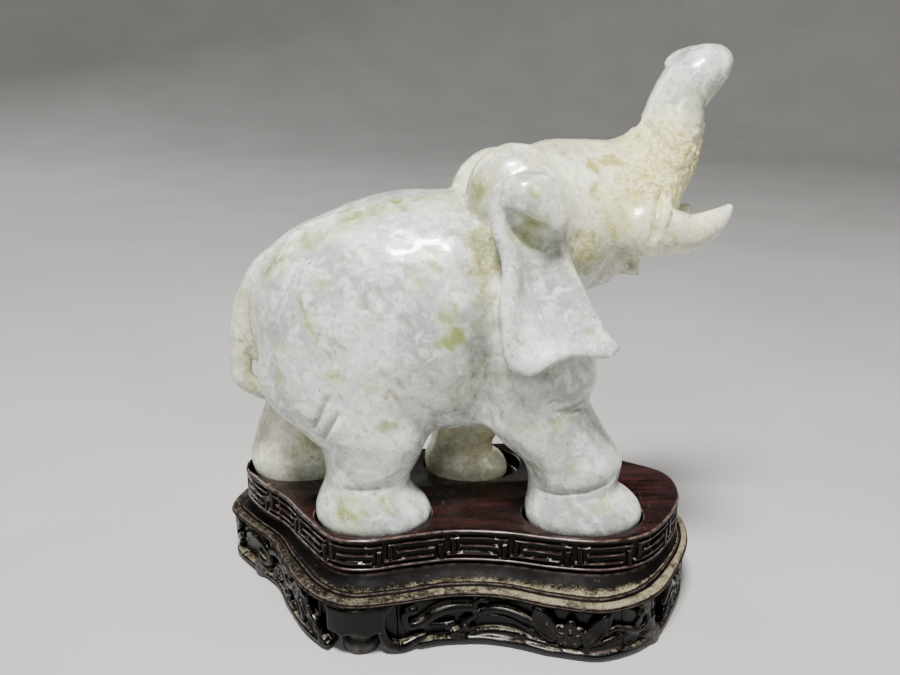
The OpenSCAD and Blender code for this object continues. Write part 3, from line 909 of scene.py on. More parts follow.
# Widest gap between the base's and the plate's outlines that leaves the edge its full depth
FULL_GAP = 4.4


def build_ledge():
    low, top = LEDGE_LOW[2], LEDGE_HIGH[2]
    t = np.arange(0, STATIONS, 1 / (28))
    gap = np.linalg.norm(BASE.at_t(t) - PLATE.at_t(t), axis=1)
    room = np.clip(gap / FULL_GAP, 0.45, 1.0)
    rings = []
    dust = []
    for out, z in LEDGE_EDGE:
        inset = np.where(out < -0.4, -0.4 + (out + 0.4) * room, out)
        rings.append(with_z(BASE.at_t(t, inset), low + z))
        dust.append(1.0 if -1.7 < out < 0.0 and z > 0.9 else 0.05)
    foot = rings[-1][:, :2]
    neck = PLATE.at_t(t, -0.5)
    for mix, z in LEDGE_COVE:
        rings.append(with_z(foot + mix * (neck - foot), low + z))
        dust.append(1.15 * (1 - mix) ** 1.2)
    for out, z in [(-0.9, 3.68), (-1.2, 3.76), (-1.25, 4.0), (-1.25, top - low)]:
        rings.append(with_z(PLATE.at_t(t, out), low + z))
        dust.append(0.05)
    ledge = ring_mesh("ledge_moulding", rings)
    # More dust has settled towards the right
    x = np.concatenate(rings)[:, 0]
    paint(ledge, "dust", np.repeat(dust, len(t)) * (0.8 + 0.3 * np.clip(x / 30, -1, 1)))
    return ledge


# ---------------------------------------------------------------- carved apron and legs

APRON_T = 2.6
LEG_T = 7.0
CARVE_TOP = LEDGE_LOW[2]
POST_TOP = 11.2
PETALS = 5
# Hole in each corner leg for the tenon of its peg foot
HOLE_R = 1.56
HOLE_TOP = 8.8
# The carving's lowest line, above the floor
CARVE_FOOT = 0.35
# Corner legs along the outline: start, end, peg foot, and how far in the peg foot stands
LEG_PLACES = {
    "front": (4.5, 6.1, 5.3, -4.8), "right": (10.4, 12.1, 11.2, -3.4),
    "back": (16.45, 18.05, 17.25, -3.6), "left": (0.6, 2.1, 1.35, -3.4)}


def branch(f, start, points, count=30, blend=0.3):
    """Branch through points: u from the start, height, radius, how far in from the face."""
    f.add(tube([(start + u, -inset, z, r, r * 0.95) for u, z, r, inset in points], count), blend)


def post(f, u0, u1, low, face, blend=0.3):
    """Short upright that ties a branch to the ledge."""
    f.add(block(u0, u1, low, POST_TOP, -2.2, face, 0.3), blend)


def leaf(f, u, z, length, width, angle, inset, veins=True):
    """Cupped pointed leaf with a midrib."""
    f.add(egg((u, -inset, z), (length, 2.2, width), pitch=angle), 0.25)
    a = math.radians(angle)
    along = np.array([math.cos(a), math.sin(a)])
    f.carve(egg((u, -inset + 1.1, z), (length * 0.86, 2.0, width * 0.76), pitch=angle), 0.2)
    if veins:
        p0 = np.array([u, z]) - along * length * 0.46
        p1 = np.array([u, z]) + along * length * 0.44
        f.add(tube([(p0[0], -inset + 0.3, p0[1], 0.3, 0.3), (u, -inset + 0.1, z, 0.28, 0.3),
                    (p1[0], -inset + 0.3, p1[1], 0.2, 0.2)], 8), 0.15)


def blossom(f, u, z, r, inset=0.9, start=90):
    for k in range(PETALS):
        a = math.radians(start + 360 * k / PETALS)
        cu, cz = u + r * 0.62 * math.cos(a), z + r * 0.62 * math.sin(a)
        f.add(egg((cu, -inset, cz), (r * 1.05, 1.5, r * 0.92), pitch=math.degrees(a)), 0.12)
        f.carve(egg((cu, -inset + 0.95, cz), (r * 0.75, 1.5, r * 0.5), pitch=math.degrees(a)), 0.15)
    f.add(egg((u, -inset + 0.35, z), (r * 0.6, 1.2, r * 0.6)), 0.12)


def knot(f, u, z, r, inset=1.0):
    f.add(egg((u, -inset, z), (2 * r, 1.9 * r, 1.8 * r)), 0.35)
    f.carve(egg((u + 0.1, -inset + r * 0.95, z), (r * 0.8, r * 0.7, r * 0.7)), 0.25)


def block(u0, u1, z0, z1, n0, n1, r):
    """Rounded box between two places along the outline."""
    centre = np.array([(u0 + u1) / 2, (n0 + n1) / 2, (z0 + z1) / 2])
    half = np.array([u1 - u0, n1 - n0, z1 - z0]) / 2 - r

    def fn(x, y, z):
        q = [abs(g - c) - h for g, c, h in zip((x, y, z), centre, half)]
        outside = np.sqrt(sum(np.maximum(g, 0)**2 for g in q))
        inside = np.minimum(np.maximum(np.maximum(q[0], q[1]), q[2]), 0)
        return outside + inside - r
    return fn, centre - half - r, centre + half + r


def draw_front(f):
    """Carving of the front, from the left toe to the right corner."""
    s = BASE.u_of(LEG_PLACES["front"][1])
    branch(f, s, [(2.9, 9, 0.7, 1), (1.6, 8.6, 0.8, 1), (1.2, 6.8, 0.8, 1.1),
        (2.6, 5.3, 0.85, 1.2), (5.2, 6, 1, 1.3), (7.6, 7.4, 1.15, 1.3), (10.5, 8.1, 1.15, 1.3),
        (14.2, 8.1, 0.95, 1.3)], 40)
    f.add(egg((s + 2.8, -0.9, 9), (1.9, 1.9, 1.8)), 0.3)
    branch(f, s, [(4.6, 4.9, 0.55, 1.1), (7.4, 4.6, 0.5, 1.2), (10.4, 4.6, 0.6, 1.3)])
    branch(f, s, [(14.2, 7.6, 0.7, 1.2), (14.6, 9.2, 0.6, 1.1), (15.4, 9.9, 0.55, 1),
        (16.6, 9.8, 0.6, 1)], 30, 0.2)
    post(f, s + 14, s + 15.4, 9.2, -1, 0.2)
    branch(f, s, [(12.2, 4.4, 0.7, 1.3), (14.2, 6.2, 0.7, 1.2), (16, 7.3, 0.75, 1.2),
        (18.4, 7.9, 0.8, 1.2), (21, 7.7, 0.8, 1.2), (23.4, 7.1, 0.75, 1.2),
        (25.8, 6.2, 0.6, 1.2)], 40)
    branch(f, s, [(13.6, 5.4, 0.45, 1.4), (17, 6.2, 0.5, 1.5), (20.6, 5.8, 0.5, 1.5),
        (24, 4.6, 0.5, 1.5), (28, 3, 0.5, 1.5)])
    leaf(f, s + 27.6, 6.9, 8, 4.2, -60, 0.9)
    post(f, s + 25, s + 26.4, 9, -0.8)
    blossom(f, s + 32.4, 5.5, 2.7)
    leaf(f, s + 37.6, 6.9, 8.6, 3.7, 54, 0.9)
    post(f, s + 39, s + 40.6, 9, -0.8)
    branch(f, s, [(38.6, 5.6, 0.55, 1.2), (41.6, 6.7, 0.6, 1.2), (44.8, 5.6, 0.65, 1.1),
        (47.6, 4.8, 0.6, 1), (49.4, 6.2, 0.6, 0.9), (49, 8.2, 0.6, 0.9),
        (47.4, 9, 0.7, 0.9)], 40, 0.25)
    f.add(egg((s + 47.2, -0.9, 9), (2.3, 2.1, 2.2)), 0.3)
    for u, z, r in [(10.8, 2.8, 1.25), (12.7, 3.9, 1.1), (12.2, 1.7, 1), (14, 2.9, 0.8),
                    (9.4, 4.1, 0.75), (23, 3.2, 0.85)]:
        knot(f, s + u, z, r)
    leaf(f, s + 19.2, 2.7, 12, 2.3, 3, 1.4, False)
    leaf(f, s + 27.6, 2.1, 11, 1.9, -7, 1.3, False)
    leaf(f, s + 41, 3.2, 14.5, 3.6, 9, 1.3, False)


def draw_bracket(f):
    """C-shaped toe at the right end of the front block."""
    s = BASE.u_of(LEG_PLACES["front"][1])
    branch(f, s, [(-1.2, 11, 1, 1.2), (-2.6, 9.4, 0.9, 1), (-3.3, 7.2, 0.9, 0.9),
        (-3, 4.4, 0.95, 0.9), (-1.8, 2.2, 1.05, 1), (0.6, 1.25, 1.1, 1.1), (3, 2, 0.9, 1.2),
        (5, 2.6, 0.6, 1.3)], 44)


def draw_left(f):
    """Carving of the left side: scroll leaf, plum branch and a run of leaves down to the toe."""
    branch(f, 0, [(8, 8, 0.8, 1), (10.5, 9, 0.9, 1), (14, 8, 0.9, 1.1),
        (16.6, 5.8, 0.8, 1), (14.8, 4, 0.8, 1), (12.6, 4.8, 0.7, 0.9)], 34)
    branch(f, 0, [(15.4, 7, 0.8, 1.2), (19, 8.2, 0.9, 1.2), (23, 8, 0.9, 1.2),
        (27, 6.4, 0.8, 1.1), (30, 6.8, 0.8, 1.1), (33, 8.6, 0.8, 1.2)], 34)
    leaf(f, 20.6, 4.6, 6.4, 3.2, 20, 1)
    leaf(f, 26.2, 9, 4.6, 2.4, 24, 1)
    blossom(f, 26.8, 4.2, 2.2)
    leaf(f, 33.2, 8.4, 5, 3.4, 50, 0.8)
    leaf(f, 34.2, 5, 5.6, 3, -48, 0.9)
    leaf(f, 37.8, 7.4, 5.8, 3.2, -62, 0.7)
    leaf(f, 40.4, 4.2, 5.2, 2.8, -52, 0.8)
    for u, z, r in [(18, 2.6, 0.9), (30.6, 3.2, 1.1), (36, 9.6, 1.2), (38.2, 3, 1),
                    (42.6, 1.7, 1.15), (29.2, 9.4, 0.9), (9, 5.4, 0.9)]:
        knot(f, u, z, r)
    for u in (16, 24.6, 33.4, 37):
        post(f, u, u + 1.3, 8.6, -0.9)


def draw_run(f, start, end, phase):
    """Plum branch with leaves, blossoms and knots, for the sides that face away."""
    width = end - start
    count = max(2, round(width / 13))
    for k in range(count):
        a = start + width * k / count
        w = width / count
        flip = 1 if (k + phase) % 2 == 0 else -1
        branch(f, a, [(0, 6.2, 0.85, 1.2), (w * 0.25, 6.2 + 2.0 * flip, 0.95, 1.2),
            (w * 0.5, 6.2, 0.85, 1.2), (w * 0.75, 6.2 - 1.6 * flip, 0.85, 1.2),
            (w, 6.2, 0.85, 1.2)], 26)
        leaf(f, a + w * 0.18, 6.4 - 2.4 * flip, w * 0.42, 2.9, 34 * flip, 1)
        leaf(f, a + w * 0.86, 6.6 + 1.8 * flip, w * 0.44, 2.9, 40 * flip, 1)
        blossom(f, a + w * 0.52, 5.9 - 0.4 * flip, 2.4, start=90 + 36 * k)
        knot(f, a + w * 0.36, 3, 0.9)
        knot(f, a + w * 0.70, 8.9, 0.9)
        leaf(f, a + w * 0.5, 2.3, w * 0.7, 1.9, 5 * flip, 1.3, False)
        for share in (0.22, 0.72):
            post(f, a + w * share, a + w * share + 1.4, 7.6, -1)


def draw_all(f):
    draw_front(f)
    draw_bracket(f)
    draw_left(f)
    draw_run(f, BASE.u_of(11.6), BASE.u_of(LEG_PLACES["back"][0]), 0)
    draw_run(f, BASE.u_of(LEG_PLACES["back"][1]), BASE.u_of(24.5), 1)


def lower_rim(f, u0, u1):
    """Bottom moulding of the apron, cut off at both ends."""
    u = np.arange(u0 - 3, u1 + 3, 2.5)
    f.add(tube([(v, -1.15, 1.45 + 0.12 * math.sin(v * 0.7), 0.62, 1.0) for v in u],
               2 * len(u)), 0.3)


def carved_piece(name, u0, u1, ground, backing=None, rim=None, foot=None):
    """One carved piece of the apron between two places along the outline."""
    step = 0.19
    depth = LEG_T if backing else APRON_T
    f = Field((u0 - 1, -depth - 0.8, -0.6), (u1 + 1, 1.2, CARVE_TOP + 1.2), step)
    draw_all(f)
    f.add(block(u0 - 3, u1 + 3, CARVE_TOP - 1.2, CARVE_TOP + 2, -APRON_T, -1.5, 0.3), 0.2)
    # A closed ground two millimetres behind the face fills the openwork. It is a dark sheet put in
    # as painted shade, so the gaps read as dark
    f.add(block(*ground, 1.2, CARVE_TOP + 2, -APRON_T, -2.0, 0.25), 0.15)
    if rim:
        lower_rim(f, *rim)
    if backing:
        backing(f)
    u, n, z = np.meshgrid(*f.axes, indexing="ij", sparse=True)
    if foot is not None:
        flat = BASE.at_u(np.repeat(f.axes[0], len(f.axes[1])), np.tile(f.axes[1], len(f.axes[0])))
        away = np.hypot(flat[:, 0] - foot[0], flat[:, 1] - foot[1]).reshape(u.shape[0], -1, 1)
        f.d = smax(f.d, -smax(away - HOLE_R, z - HOLE_TOP, 0.1), 0.1).astype(np.float32)
    for side in (u0 - u, u - u1, n - 0.12, -depth - n, z - CARVE_TOP, CARVE_FOOT - z):
        f.d = smax(f.d, side, 0.05).astype(np.float32)
    points, faces = surface(f)
    points = relax(points, faces)
    flat = BASE.at_u(points[:, 0], points[:, 1])
    points = np.column_stack([flat, np.clip(points[:, 2], None, CARVE_TOP)])
    obj = make_mesh(name, points * MM, faces)
    drop_crumbs(obj)
    return obj


def drop_crumbs(obj):
    """Removes loose chips of the carving, so that the piece is one solid."""
    bm = bmesh.new()
    bm.from_mesh(obj.data)
    left = set(bm.verts)
    parts = []
    while left:
        stack = [left.pop()]
        part = list(stack)
        while stack:
            for edge in stack.pop().link_edges:
                for v in edge.verts:
                    if v in left:
                        left.remove(v)
                        stack.append(v)
                        part.append(v)
        parts.append(part)
    parts.sort(key=len)
    for part in parts[:-1]:
        bmesh.ops.delete(bm, geom=part, context="VERTS")
    bm.to_mesh(obj.data)
    bm.free()


def scalloped(u, centre, rise):
    """Height of the block's lower edge: shallow arcs that meet in points."""
    return 4.6 + rise * abs(np.cos((u - centre) * 0.62))


def plain_backing(u0, u1):
    """Plain corner block with rounded upper corners and a scalloped lower edge."""
    def draw(f):
        fn, low, high = block(u0, u1, 3.4, 10.8, -LEG_T, 0.1, 0.8)

        def cut(x, y, z):
            return smax(fn(x, y, z), scalloped(x, (u0 + u1) / 2, 0.9) - z, 0.3)
        f.add((cut, low, high), 0.25)
        f.add(block(u0 + 0.6, u1 - 0.6, 9.6, CARVE_TOP + 1, -LEG_T, -1.2, 0.3), 0.2)
    return draw


def carved_backing(u0, u1):
    """Corner block set back behind the carving."""
    def draw(f):
        f.add(block(u0 + 0.4, u1 - 0.4, 5.5, CARVE_TOP + 1, -LEG_T, -2.0, 0.6), 0.3)
    return draw


def corner_leg(name, side):
    t0, t1, place, inset = LEG_PLACES[side]
    u0, u1 = BASE.u_of(t0), BASE.u_of(t1)
    plain = side in ("front", "back")
    backing = plain_backing(u0, u1 - 2.6) if plain else carved_backing(u0, u1)
    rim = None if plain else (u0, u1)
    ground = (u1 - 2.8, u1 + 3) if plain else (u0 - 3, u1 + 3)
    foot = BASE.at_t([place], inset)[0]
    return carved_piece(name, u0, u1, ground, backing, rim, foot)


def apron(name, a, b):
    t0, t1 = LEG_PLACES[a][1], LEG_PLACES[b][0]
    if t1 < t0:
        t1 += STATIONS
    u0, u1 = BASE.u_of(t0), BASE.u_of(t1)
    start = u0 + 7.0 if a == "front" else u0
    return carved_piece(name, u0, u1, (u0 - 3, u1 + 3), rim=(start, u1))


# ---------------------------------------------------------------- turned feet


def peg_foot(name, node):
    """Turned foot: rounded pad, small bead, neck and tenon."""
    low, high = box_mm(node)
    cx, cy = (low + high)[:2] / 2
    r = (high[0] - low[0]) / 2
    profile = [(r - 0.7, 0.0), (r - 0.3, 0.08), (r - 0.05, 0.36), (r, 0.8), (r, 1.6),
               (r - 0.06, 2.1), (r - 0.35, 2.45), (r - 0.8, 2.6), (r - 0.95, 2.75),
               (r - 0.85, 2.95), (r - 0.95, 3.15), (2.55, 3.35), (2.35, 3.9), (2.4, 5.0),
               (2.4, 5.46), (1.5, 5.48), (1.5, high[2] - 0.2), (1.3, high[2])]
    obj = ring_mesh(name, [with_z((cx, cy) + radius * circle(64), z) for radius, z in profile])
    sharp_by_angle(obj, 40)
    return obj


# ---------------------------------------------------------------- materials


class Look:
    """A material and the few node shapes that its recipe needs."""

    def __init__(self, name, **values):
        self.material = bpy.data.materials.new(name)
        self.material.use_nodes = True
        self.tree = self.material.node_tree
        self.shader = self.tree.nodes["Principled BSDF"]
        for socket, value in values.items():
            self.shader.inputs[socket.replace("_", " ")].default_value = value
        self.place = self.use("TexCoord", "Object")

    def feed(self, socket, value):
        if isinstance(value, bpy.types.NodeSocket):
            self.tree.links.new(value, socket)
        else:
            socket.default_value = value

    def use(self, kind, output, inputs=None, **settings):
        """Adds a node, feeds its inputs and gives back one of its outputs."""
        node = self.tree.nodes.new("ShaderNode" + kind)
        for name, value in settings.items():
            setattr(node, name, value)
        for name, value in (inputs or {}).items():
            self.feed(node.inputs[name], value)
        return node.outputs[output]

    def math(self, operation, a, b=0.0, clamp=False):
        return self.use("Math", 0, {0: a, 1: b}, operation=operation, use_clamp=clamp)

    def times(self, a, b):
        return self.math("MULTIPLY", a, b)

    def stretched(self, scale):
        return self.use("VectorMath", 0, {0: self.place, 1: scale}, operation="MULTIPLY")

    def noise(self, size_mm, detail=3.0, rough=0.5, warp=0.0, place=None):
        return self.use("TexNoise", "Fac", {
            "Vector": place or self.place, "Scale": 1 / (size_mm * MM), "Detail": detail,
            "Roughness": rough, "Distortion": warp})

    def cells(self, size_mm):
        return self.use("TexVoronoi", "Distance", {
            "Vector": self.place, "Scale": 1 / (size_mm * MM)})

    def span(self, value, low, high, to_low=0.0, to_high=1.0):
        return self.use("MapRange", "Result", {
            "Value": value, "From Min": low, "From Max": high, "To Min": to_low,
            "To Max": to_high}, interpolation_type="SMOOTHSTEP")

    def mix(self, share, a, b):
        return self.use("Mix", "Result", {"Factor": share, "A": a, "B": b}, data_type="RGBA")

    def tint(self, colour, share, most, tone):
        """The colour, mixed towards a tone by up to the given amount."""
        return self.mix(self.times(share, most), colour, shade(*tone))

    def painted(self, name):
        return self.use("Attribute", "Fac", attribute_name=name)

    def facing_up(self):
        return self.use("SeparateXYZ", "Z", {0: self.use("NewGeometry", "Normal")})

    def height(self):
        return self.use("SeparateXYZ", "Z", {0: self.place})

    def edges(self, low, high):
        return self.span(self.use("NewGeometry", "Pointiness"), low, high)

    def bump(self, height, strength, distance_mm, under=None):
        inputs = {"Height": height, "Strength": strength, "Distance": distance_mm * MM}
        if under is not None:
            inputs["Normal"] = under
        return self.use("Bump", "Normal", inputs)

    def finish(self, colour, roughness, normal):
        for name, value in (("Base Color", colour), ("Roughness", roughness), ("Normal", normal)):
            self.feed(self.shader.inputs[name], value)
        return self.material


def shade(red, green, blue):
    """Linear colour of a colour seen on screen, given from 0 to 255."""
    def channel(v):
        v /= 255
        return v / 12.92 if v <= 0.04045 else ((v + 0.055) / 1.055)**2.4
    return channel(red), channel(green), channel(blue), 1.0


def jade():
    """Polished pale nephrite: cool clouds, grey veins, green veils, rust and raw patches, grime,
    and painted shade in creases and folds.
    """
    k = Look("jade_polished", Subsurface_Weight=0.12, Subsurface_Radius=(1.0, 0.95, 0.8),
             Subsurface_Scale=0.0012, IOR=1.6, Coat_Roughness=0.08, Coat_IOR=1.6)
    streaks = k.use("Mapping", 0, {"Vector": k.place, "Rotation": (0, 1, 0),
                                   "Scale": (2.4, 1, 1)}, vector_type="TEXTURE")
    cloud = k.span(k.noise(12, 5, 0.6, 0.6, streaks), 0.36, 0.66)
    colour = k.mix(cloud, shade(160, 163, 160), shade(217, 222, 215))
    milk = k.span(k.noise(2.6, 4, 0.62, 0.6), 0.44, 0.66)
    colour = k.tint(colour, milk, 0.62, (243, 247, 241))
    cream = k.times(k.painted("cream"), k.span(k.noise(6, 3), 0.25, 0.6, 0.55, 1.0))
    colour = k.tint(colour, cream, 0.75, (240, 229, 156))
    vein = k.span(k.noise(2.2, 5, 0.75, 0.3, streaks), 0.54, 0.72)
    colour = k.tint(colour, vein, 0.75, (126, 132, 116))
    mist = k.span(k.noise(0.9, 4, 0.75), 0.48, 0.7)
    colour = k.tint(colour, mist, 0.62, (130, 134, 133))
    # Painted shade: the colour is darkened in concave creases
    crease_shade = k.edges(0.487, 0.44)
    colour = k.tint(colour, crease_shade, 0.6, (122, 116, 94))
    broken = k.noise(2.2, 5, 0.7, 0.5, streaks)
    torn = k.times(k.math("SUBTRACT", broken, 0.5), 3.2)
    stray = k.span(k.noise(3.0, 4, 0.6, 0.2, streaks), 0.6, 0.72)
    veil = k.times(k.span(k.painted("green"), 0.05, 0.8), 0.4)
    colour = k.mix(veil, colour, shade(188, 192, 128))
    green = k.span(k.math("ADD", k.painted("green"), torn), 0.3, 1.6)
    green = k.math("MAXIMUM", green, k.times(stray, 0.6))
    colour = k.tint(colour, green, 0.95, (124, 136, 62))
    grit = k.painted("grit")
    grains = k.span(k.noise(0.75, 4, 0.75), 0.4, 0.62)
    raw = k.mix(grains, shade(184, 174, 70), shade(251, 246, 196))
    raw_share = k.span(k.math("ADD", grit, k.times(torn, 0.5)), 0.15, 0.95, 0, 0.85)
    colour = k.mix(raw_share, colour, raw)
    # Grime on the neck patch, and painted shade that darkens the folds and the hollow under the ear
    settled_and_shade = k.times(k.painted("grime_and_shade"), k.span(k.noise(0.8, 4, 0.7), 0.3, 0.65, 0.6, 1))
    colour = k.tint(colour, settled_and_shade, 0.92, (104, 106, 66))
    ragged = k.math("ADD", k.cells(2.4), k.times(k.noise(0.5, 3, 0.7), 0.16))
    specks = k.span(ragged, 0.23, 0.13)
    few = k.span(k.noise(4, 3, 0.6), 0.49, 0.6)
    colour = k.tint(colour, k.times(specks, few), 0.75, (72, 74, 72))
    rust = k.span(k.math("ADD", k.painted("rust"), torn), 0.45, 1.3)
    colour = k.tint(colour, rust, 0.72, (140, 132, 26))
    rough = k.span(k.noise(2.2, 4, 0.65), 0.3, 0.72, 0.2, 0.42)
    rough = k.math("ADD", rough, k.times(raw_share, 0.4))
    k.feed(k.shader.inputs["Coat Weight"], k.span(raw_share, 0.4, 0, 0, 0.45))
    normal = k.bump(k.noise(2.6, 4, 0.6), 0.6, 0.22)
    normal = k.bump(k.noise(0.45, 3, 0.6), 0.12, 0.1, normal)
    normal = k.bump(k.noise(0.6, 4, 0.8), k.times(raw_share, 0.9), 0.5, normal)
    return k.finish(colour, rough, normal)


def dusty(k, colour, rough, amount, slope=(0.5, 0.95)):
    """Dust over a colour and its roughness, on what faces up."""
    lies = k.span(k.facing_up(), *slope)
    patches = k.span(k.noise(2.2, 4, 0.7, 0.4), 0.32, 0.68, 0.45, 1.0)
    depth = k.times(k.times(lies, patches), amount)
    speck = k.noise(0.4, 3, 0.8)
    level = k.math("ADD", k.times(depth, 0.75), k.times(speck, 0.8))
    share = k.span(level, 0.62, 1.08)
    grey = k.mix(k.span(k.noise(0.3, 4, 0.8), 0.36, 0.66), shade(90, 83, 67), shade(156, 147, 120))
    return k.mix(share, colour, grey), k.math("ADD", rough, k.times(share, 0.45), True)


def rosewood(name, dark, light, gloss, dust, worn, shine=0.3, sides=0.3, dust_map=None,
             shaded_below=None):
    """Near-black rosewood with grain, scratches, worn edges with a painted highlight, painted shade
    on faces that don't face up and below a given height, and dust.
    """
    k = Look(name)
    grain_place = k.stretched((0.12, 1, 1))
    grain = k.noise(1.1, 5, 0.65, 0.3, grain_place)
    streak = k.noise(4.5, 3, 0.6, 0.5, grain_place)
    colour = k.mix(k.span(k.math("ADD", grain, streak), 0.78, 1.3), shade(*dark), shade(*light))
    pores = k.span(k.noise(0.35, 2, 0.5, 0, k.stretched((0.05, 1, 1))), 0.62, 0.7)
    colour = k.tint(colour, pores, 0.6, (14, 9, 9))
    scratch = k.span(k.noise(0.5, 2, 0.8, 0.2, k.stretched((0.3, 0.05, 1))), 0.66, 0.74)
    colour = k.tint(colour, scratch, 0.25, (120, 100, 92))
    rough = k.span(k.noise(5, 4, 0.65), 0.3, 0.7, gloss, gloss + 0.2)
    lean = k.facing_up()
    # Painted shade: faces that don't face up are darkened towards the dark tone
    colour = k.mix(k.span(lean, 0.8, 0.3, 0, 0.85), colour, shade(*dark))
    k.feed(k.shader.inputs["Specular IOR Level"], k.span(lean, 0.05, 0.6, sides * shine, shine))
    # Painted shade: everything more than half a millimetre below the given height, including the
    # sunk fret, the sides and the foot wells, is darkened towards the dark tone
    if shaded_below:
        colour = k.mix(k.span(k.height(), shaded_below - 0.2 * MM, shaded_below - 0.6 * MM, 0, 0.85),
                       colour, shade(*dark))
    # Painted highlight and wear: rounded upper edges and convex ridges are lightened
    edge = k.times(k.span(lean, 0.2, 0.5), k.span(lean, 0.97, 0.86))
    edge = k.times(edge, k.span(k.noise(1.8, 4, 0.65), 0.34, 0.62))
    edge = k.times(edge, k.edges(0.498, 0.53))
    ridge_wear_and_highlight = k.times(k.edges(0.52, 0.6), 0.75)
    edge = k.math("MAXIMUM", edge, ridge_wear_and_highlight)
    colour = k.tint(colour, edge, worn, (120, 104, 96))
    if dust_map:
        dust = k.times(k.painted(dust_map), dust)
    colour, rough = dusty(k, colour, rough, dust)
    normal = k.bump(grain, 0.16, 0.1)
    normal = k.bump(k.math("SUBTRACT", scratch, pores), 0.2, 0.05, normal)
    return k.finish(colour, rough, normal)


def peg_wood():
    """Pale grey, dusty turned wood."""
    k = Look("peg_turned_wood")
    ringed = k.noise(0.8, 3, 0.6, 0, k.stretched((1, 1, 0.2)))
    colour = k.mix(k.span(ringed, 0.35, 0.65), shade(20, 18, 17), shade(56, 52, 48))
    colour, rough = dusty(k, colour, 0.5, 0.5)
    return k.finish(colour, rough, k.bump(ringed, 0.3, 0.1))


def bamboo():
    k = Look("pin_bamboo")
    fibre = k.noise(0.4, 3, 0.6, 0, k.stretched((1, 1, 0.08)))
    colour = k.mix(k.span(fibre, 0.35, 0.65), shade(178, 150, 100), shade(206, 182, 130))
    return k.finish(colour, k.span(fibre, 0.3, 0.7, 0.45, 0.6), k.bump(fibre, 0.3, 0.08))


def floor_look():
    k = Look("floor_paper")
    tone = k.span(k.noise(60, 2, 0.5), 0.3, 0.7)
    colour = k.mix(tone, shade(174, 173, 171), shade(180, 179, 177))
    return k.finish(colour, k.span(tone, 0, 1, 0.82, 0.88), k.bump(k.noise(1.5, 2), 0.05, 0.1))


def wear(piece, material):
    piece.data.materials.clear()
    piece.data.materials.append(material)


# ---------------------------------------------------------------- floor, lights and camera


def build_floor():
    """Round pale floor that curves up into a wall all round."""
    path = [(r, 0.0) for r in (0.0, 0.2, 0.5, 0.75)]
    path += [(0.75 + 0.45 * math.sin(a), 0.45 - 0.45 * math.cos(a))
             for a in np.linspace(0.1, 1.57, 16)]
    path += [(1.2, 0.9), (1.2, 1.5)]
    around = np.linspace(0, 2 * np.pi, 96, endpoint=False)
    points = [(0.0, 0.0, 0.0)]
    points += [(r * math.cos(a), r * math.sin(a), z) for r, z in path[1:] for a in around]
    n = len(around)
    faces = [(0, 1 + k, 1 + (k + 1) % n) for k in range(n)]
    for ring in range(len(path) - 2):
        low, high = 1 + ring * n, 1 + (ring + 1) * n
        faces += [(low + k, high + k, high + (k + 1) % n, low + (k + 1) % n) for k in range(n)]
    floor = make_mesh("floor", points, faces)
    wear(floor, floor_look())


# Name, place and size in metres, power, colour
LAMPS = [
    ("key_top", (-0.04, -0.20, 0.50), (0.12, 0.08), 6.8, (1.0, 0.99, 0.96)),
    ("fill_front", (-0.12, -0.62, 0.52), (0.16, 0.10), 1.2, (0.97, 0.98, 1.0)),
    ("fill_right", (0.75, -0.10, 0.40), (0.4, 0.4), 1.2, (1.0, 0.98, 0.95)),
    ("rim_back", (-0.50, 0.60, 0.45), (0.4, 0.4), 2.6, (1.0, 1.0, 1.0))]
LAMPS_AIM = (0.0, 0.0, 0.05)


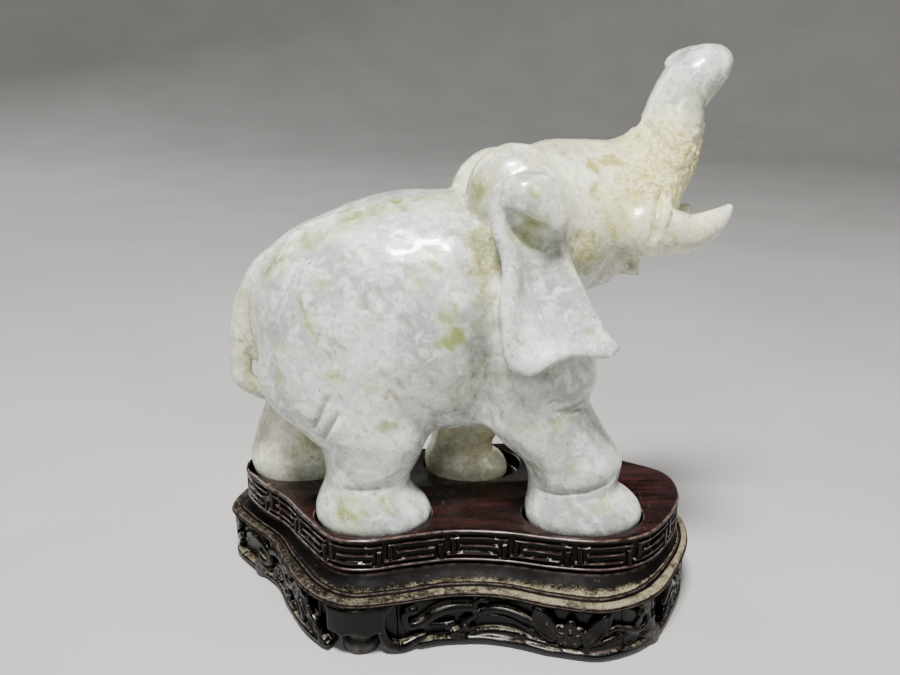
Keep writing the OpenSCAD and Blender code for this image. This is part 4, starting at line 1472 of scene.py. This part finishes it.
def build_lights():
    for name, at, size, power, colour in LAMPS:
        data = bpy.data.lights.new(name, "AREA")
        data.shape = "RECTANGLE"
        data.size, data.size_y = size
        data.energy = power
        data.color = colour
        obj = bpy.data.objects.new(name, data)
        obj.location = at
        obj.rotation_euler = (Vector(LAMPS_AIM) - Vector(at)).to_track_quat("-Z", "Y").to_euler()
        bpy.context.scene.collection.objects.link(obj)
    world = bpy.data.worlds.new("studio")
    world.use_nodes = True
    world.node_tree.nodes["Background"].inputs["Color"].default_value = (0.9, 0.92, 0.95, 1)
    world.node_tree.nodes["Background"].inputs["Strength"].default_value = 0.05
    bpy.context.scene.world = world


# Camera in the frame, in millimetres, and how far it looks down in degrees
CAMERA_AT = (-1.5, -167.5, 110.5)
CAMERA_DOWN = 18.5


def build_camera():
    data = bpy.data.cameras.new("view")
    data.sensor_width = 36
    data.lens = 36
    data.clip_start = 0.005
    camera = bpy.data.objects.new("view", data)
    camera.location = Vector(CAMERA_AT) * MM
    camera.rotation_euler = (math.radians(90 - CAMERA_DOWN), 0, 0)
    bpy.context.scene.collection.objects.link(camera)
    bpy.context.scene.camera = camera


# ---------------------------------------------------------------- assembly


def put(piece, body, node, material):
    wear(piece, material)
    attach(piece, body)
    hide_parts(node)


def assemble():
    put(build_elephant(), "elephant", "jade_elephant", jade())
    plate_wood = rosewood("rosewood_plate", (9, 4, 4), (50, 23, 24), 0.14, 0.3, 0.5,
                          shaded_below=PLATE_HIGH[2] * MM)
    ledge_wood = rosewood("rosewood_ledge", (5, 4, 3), (14, 9, 8), 0.5, 1.0, 0.4, 0.09,
                          dust_map="dust")
    carved_wood = rosewood("rosewood_carved", (3, 2, 2), (10, 6, 6), 0.15, 0.7, 0.5, 0.28, 0.8)
    put(build_plate(), "stand", "stand_top_plate", plate_wood)
    put(build_ledge(), "stand", "stand_ledge", ledge_wood)
    for a, b in (("front", "right"), ("right", "back"), ("back", "left"), ("left", "front")):
        node = "apron_" + a
        put(apron("carved_" + node, a, b), "stand", node, carved_wood)
    turned = peg_wood()
    for side in LEG_PLACES:
        leg = corner_leg("carved_leg_" + side, side)
        put(leg, "stand", "corner_leg_" + side, carved_wood)
        foot = "peg_foot_" + side
        put(peg_foot("turned_" + foot, foot), "stand", foot, turned)
    pins = bpy.data.objects["plate_pins"]
    for slot in pins.material_slots:
        slot.material = bamboo()


build_floor()
build_lights()
build_camera()
assemble()
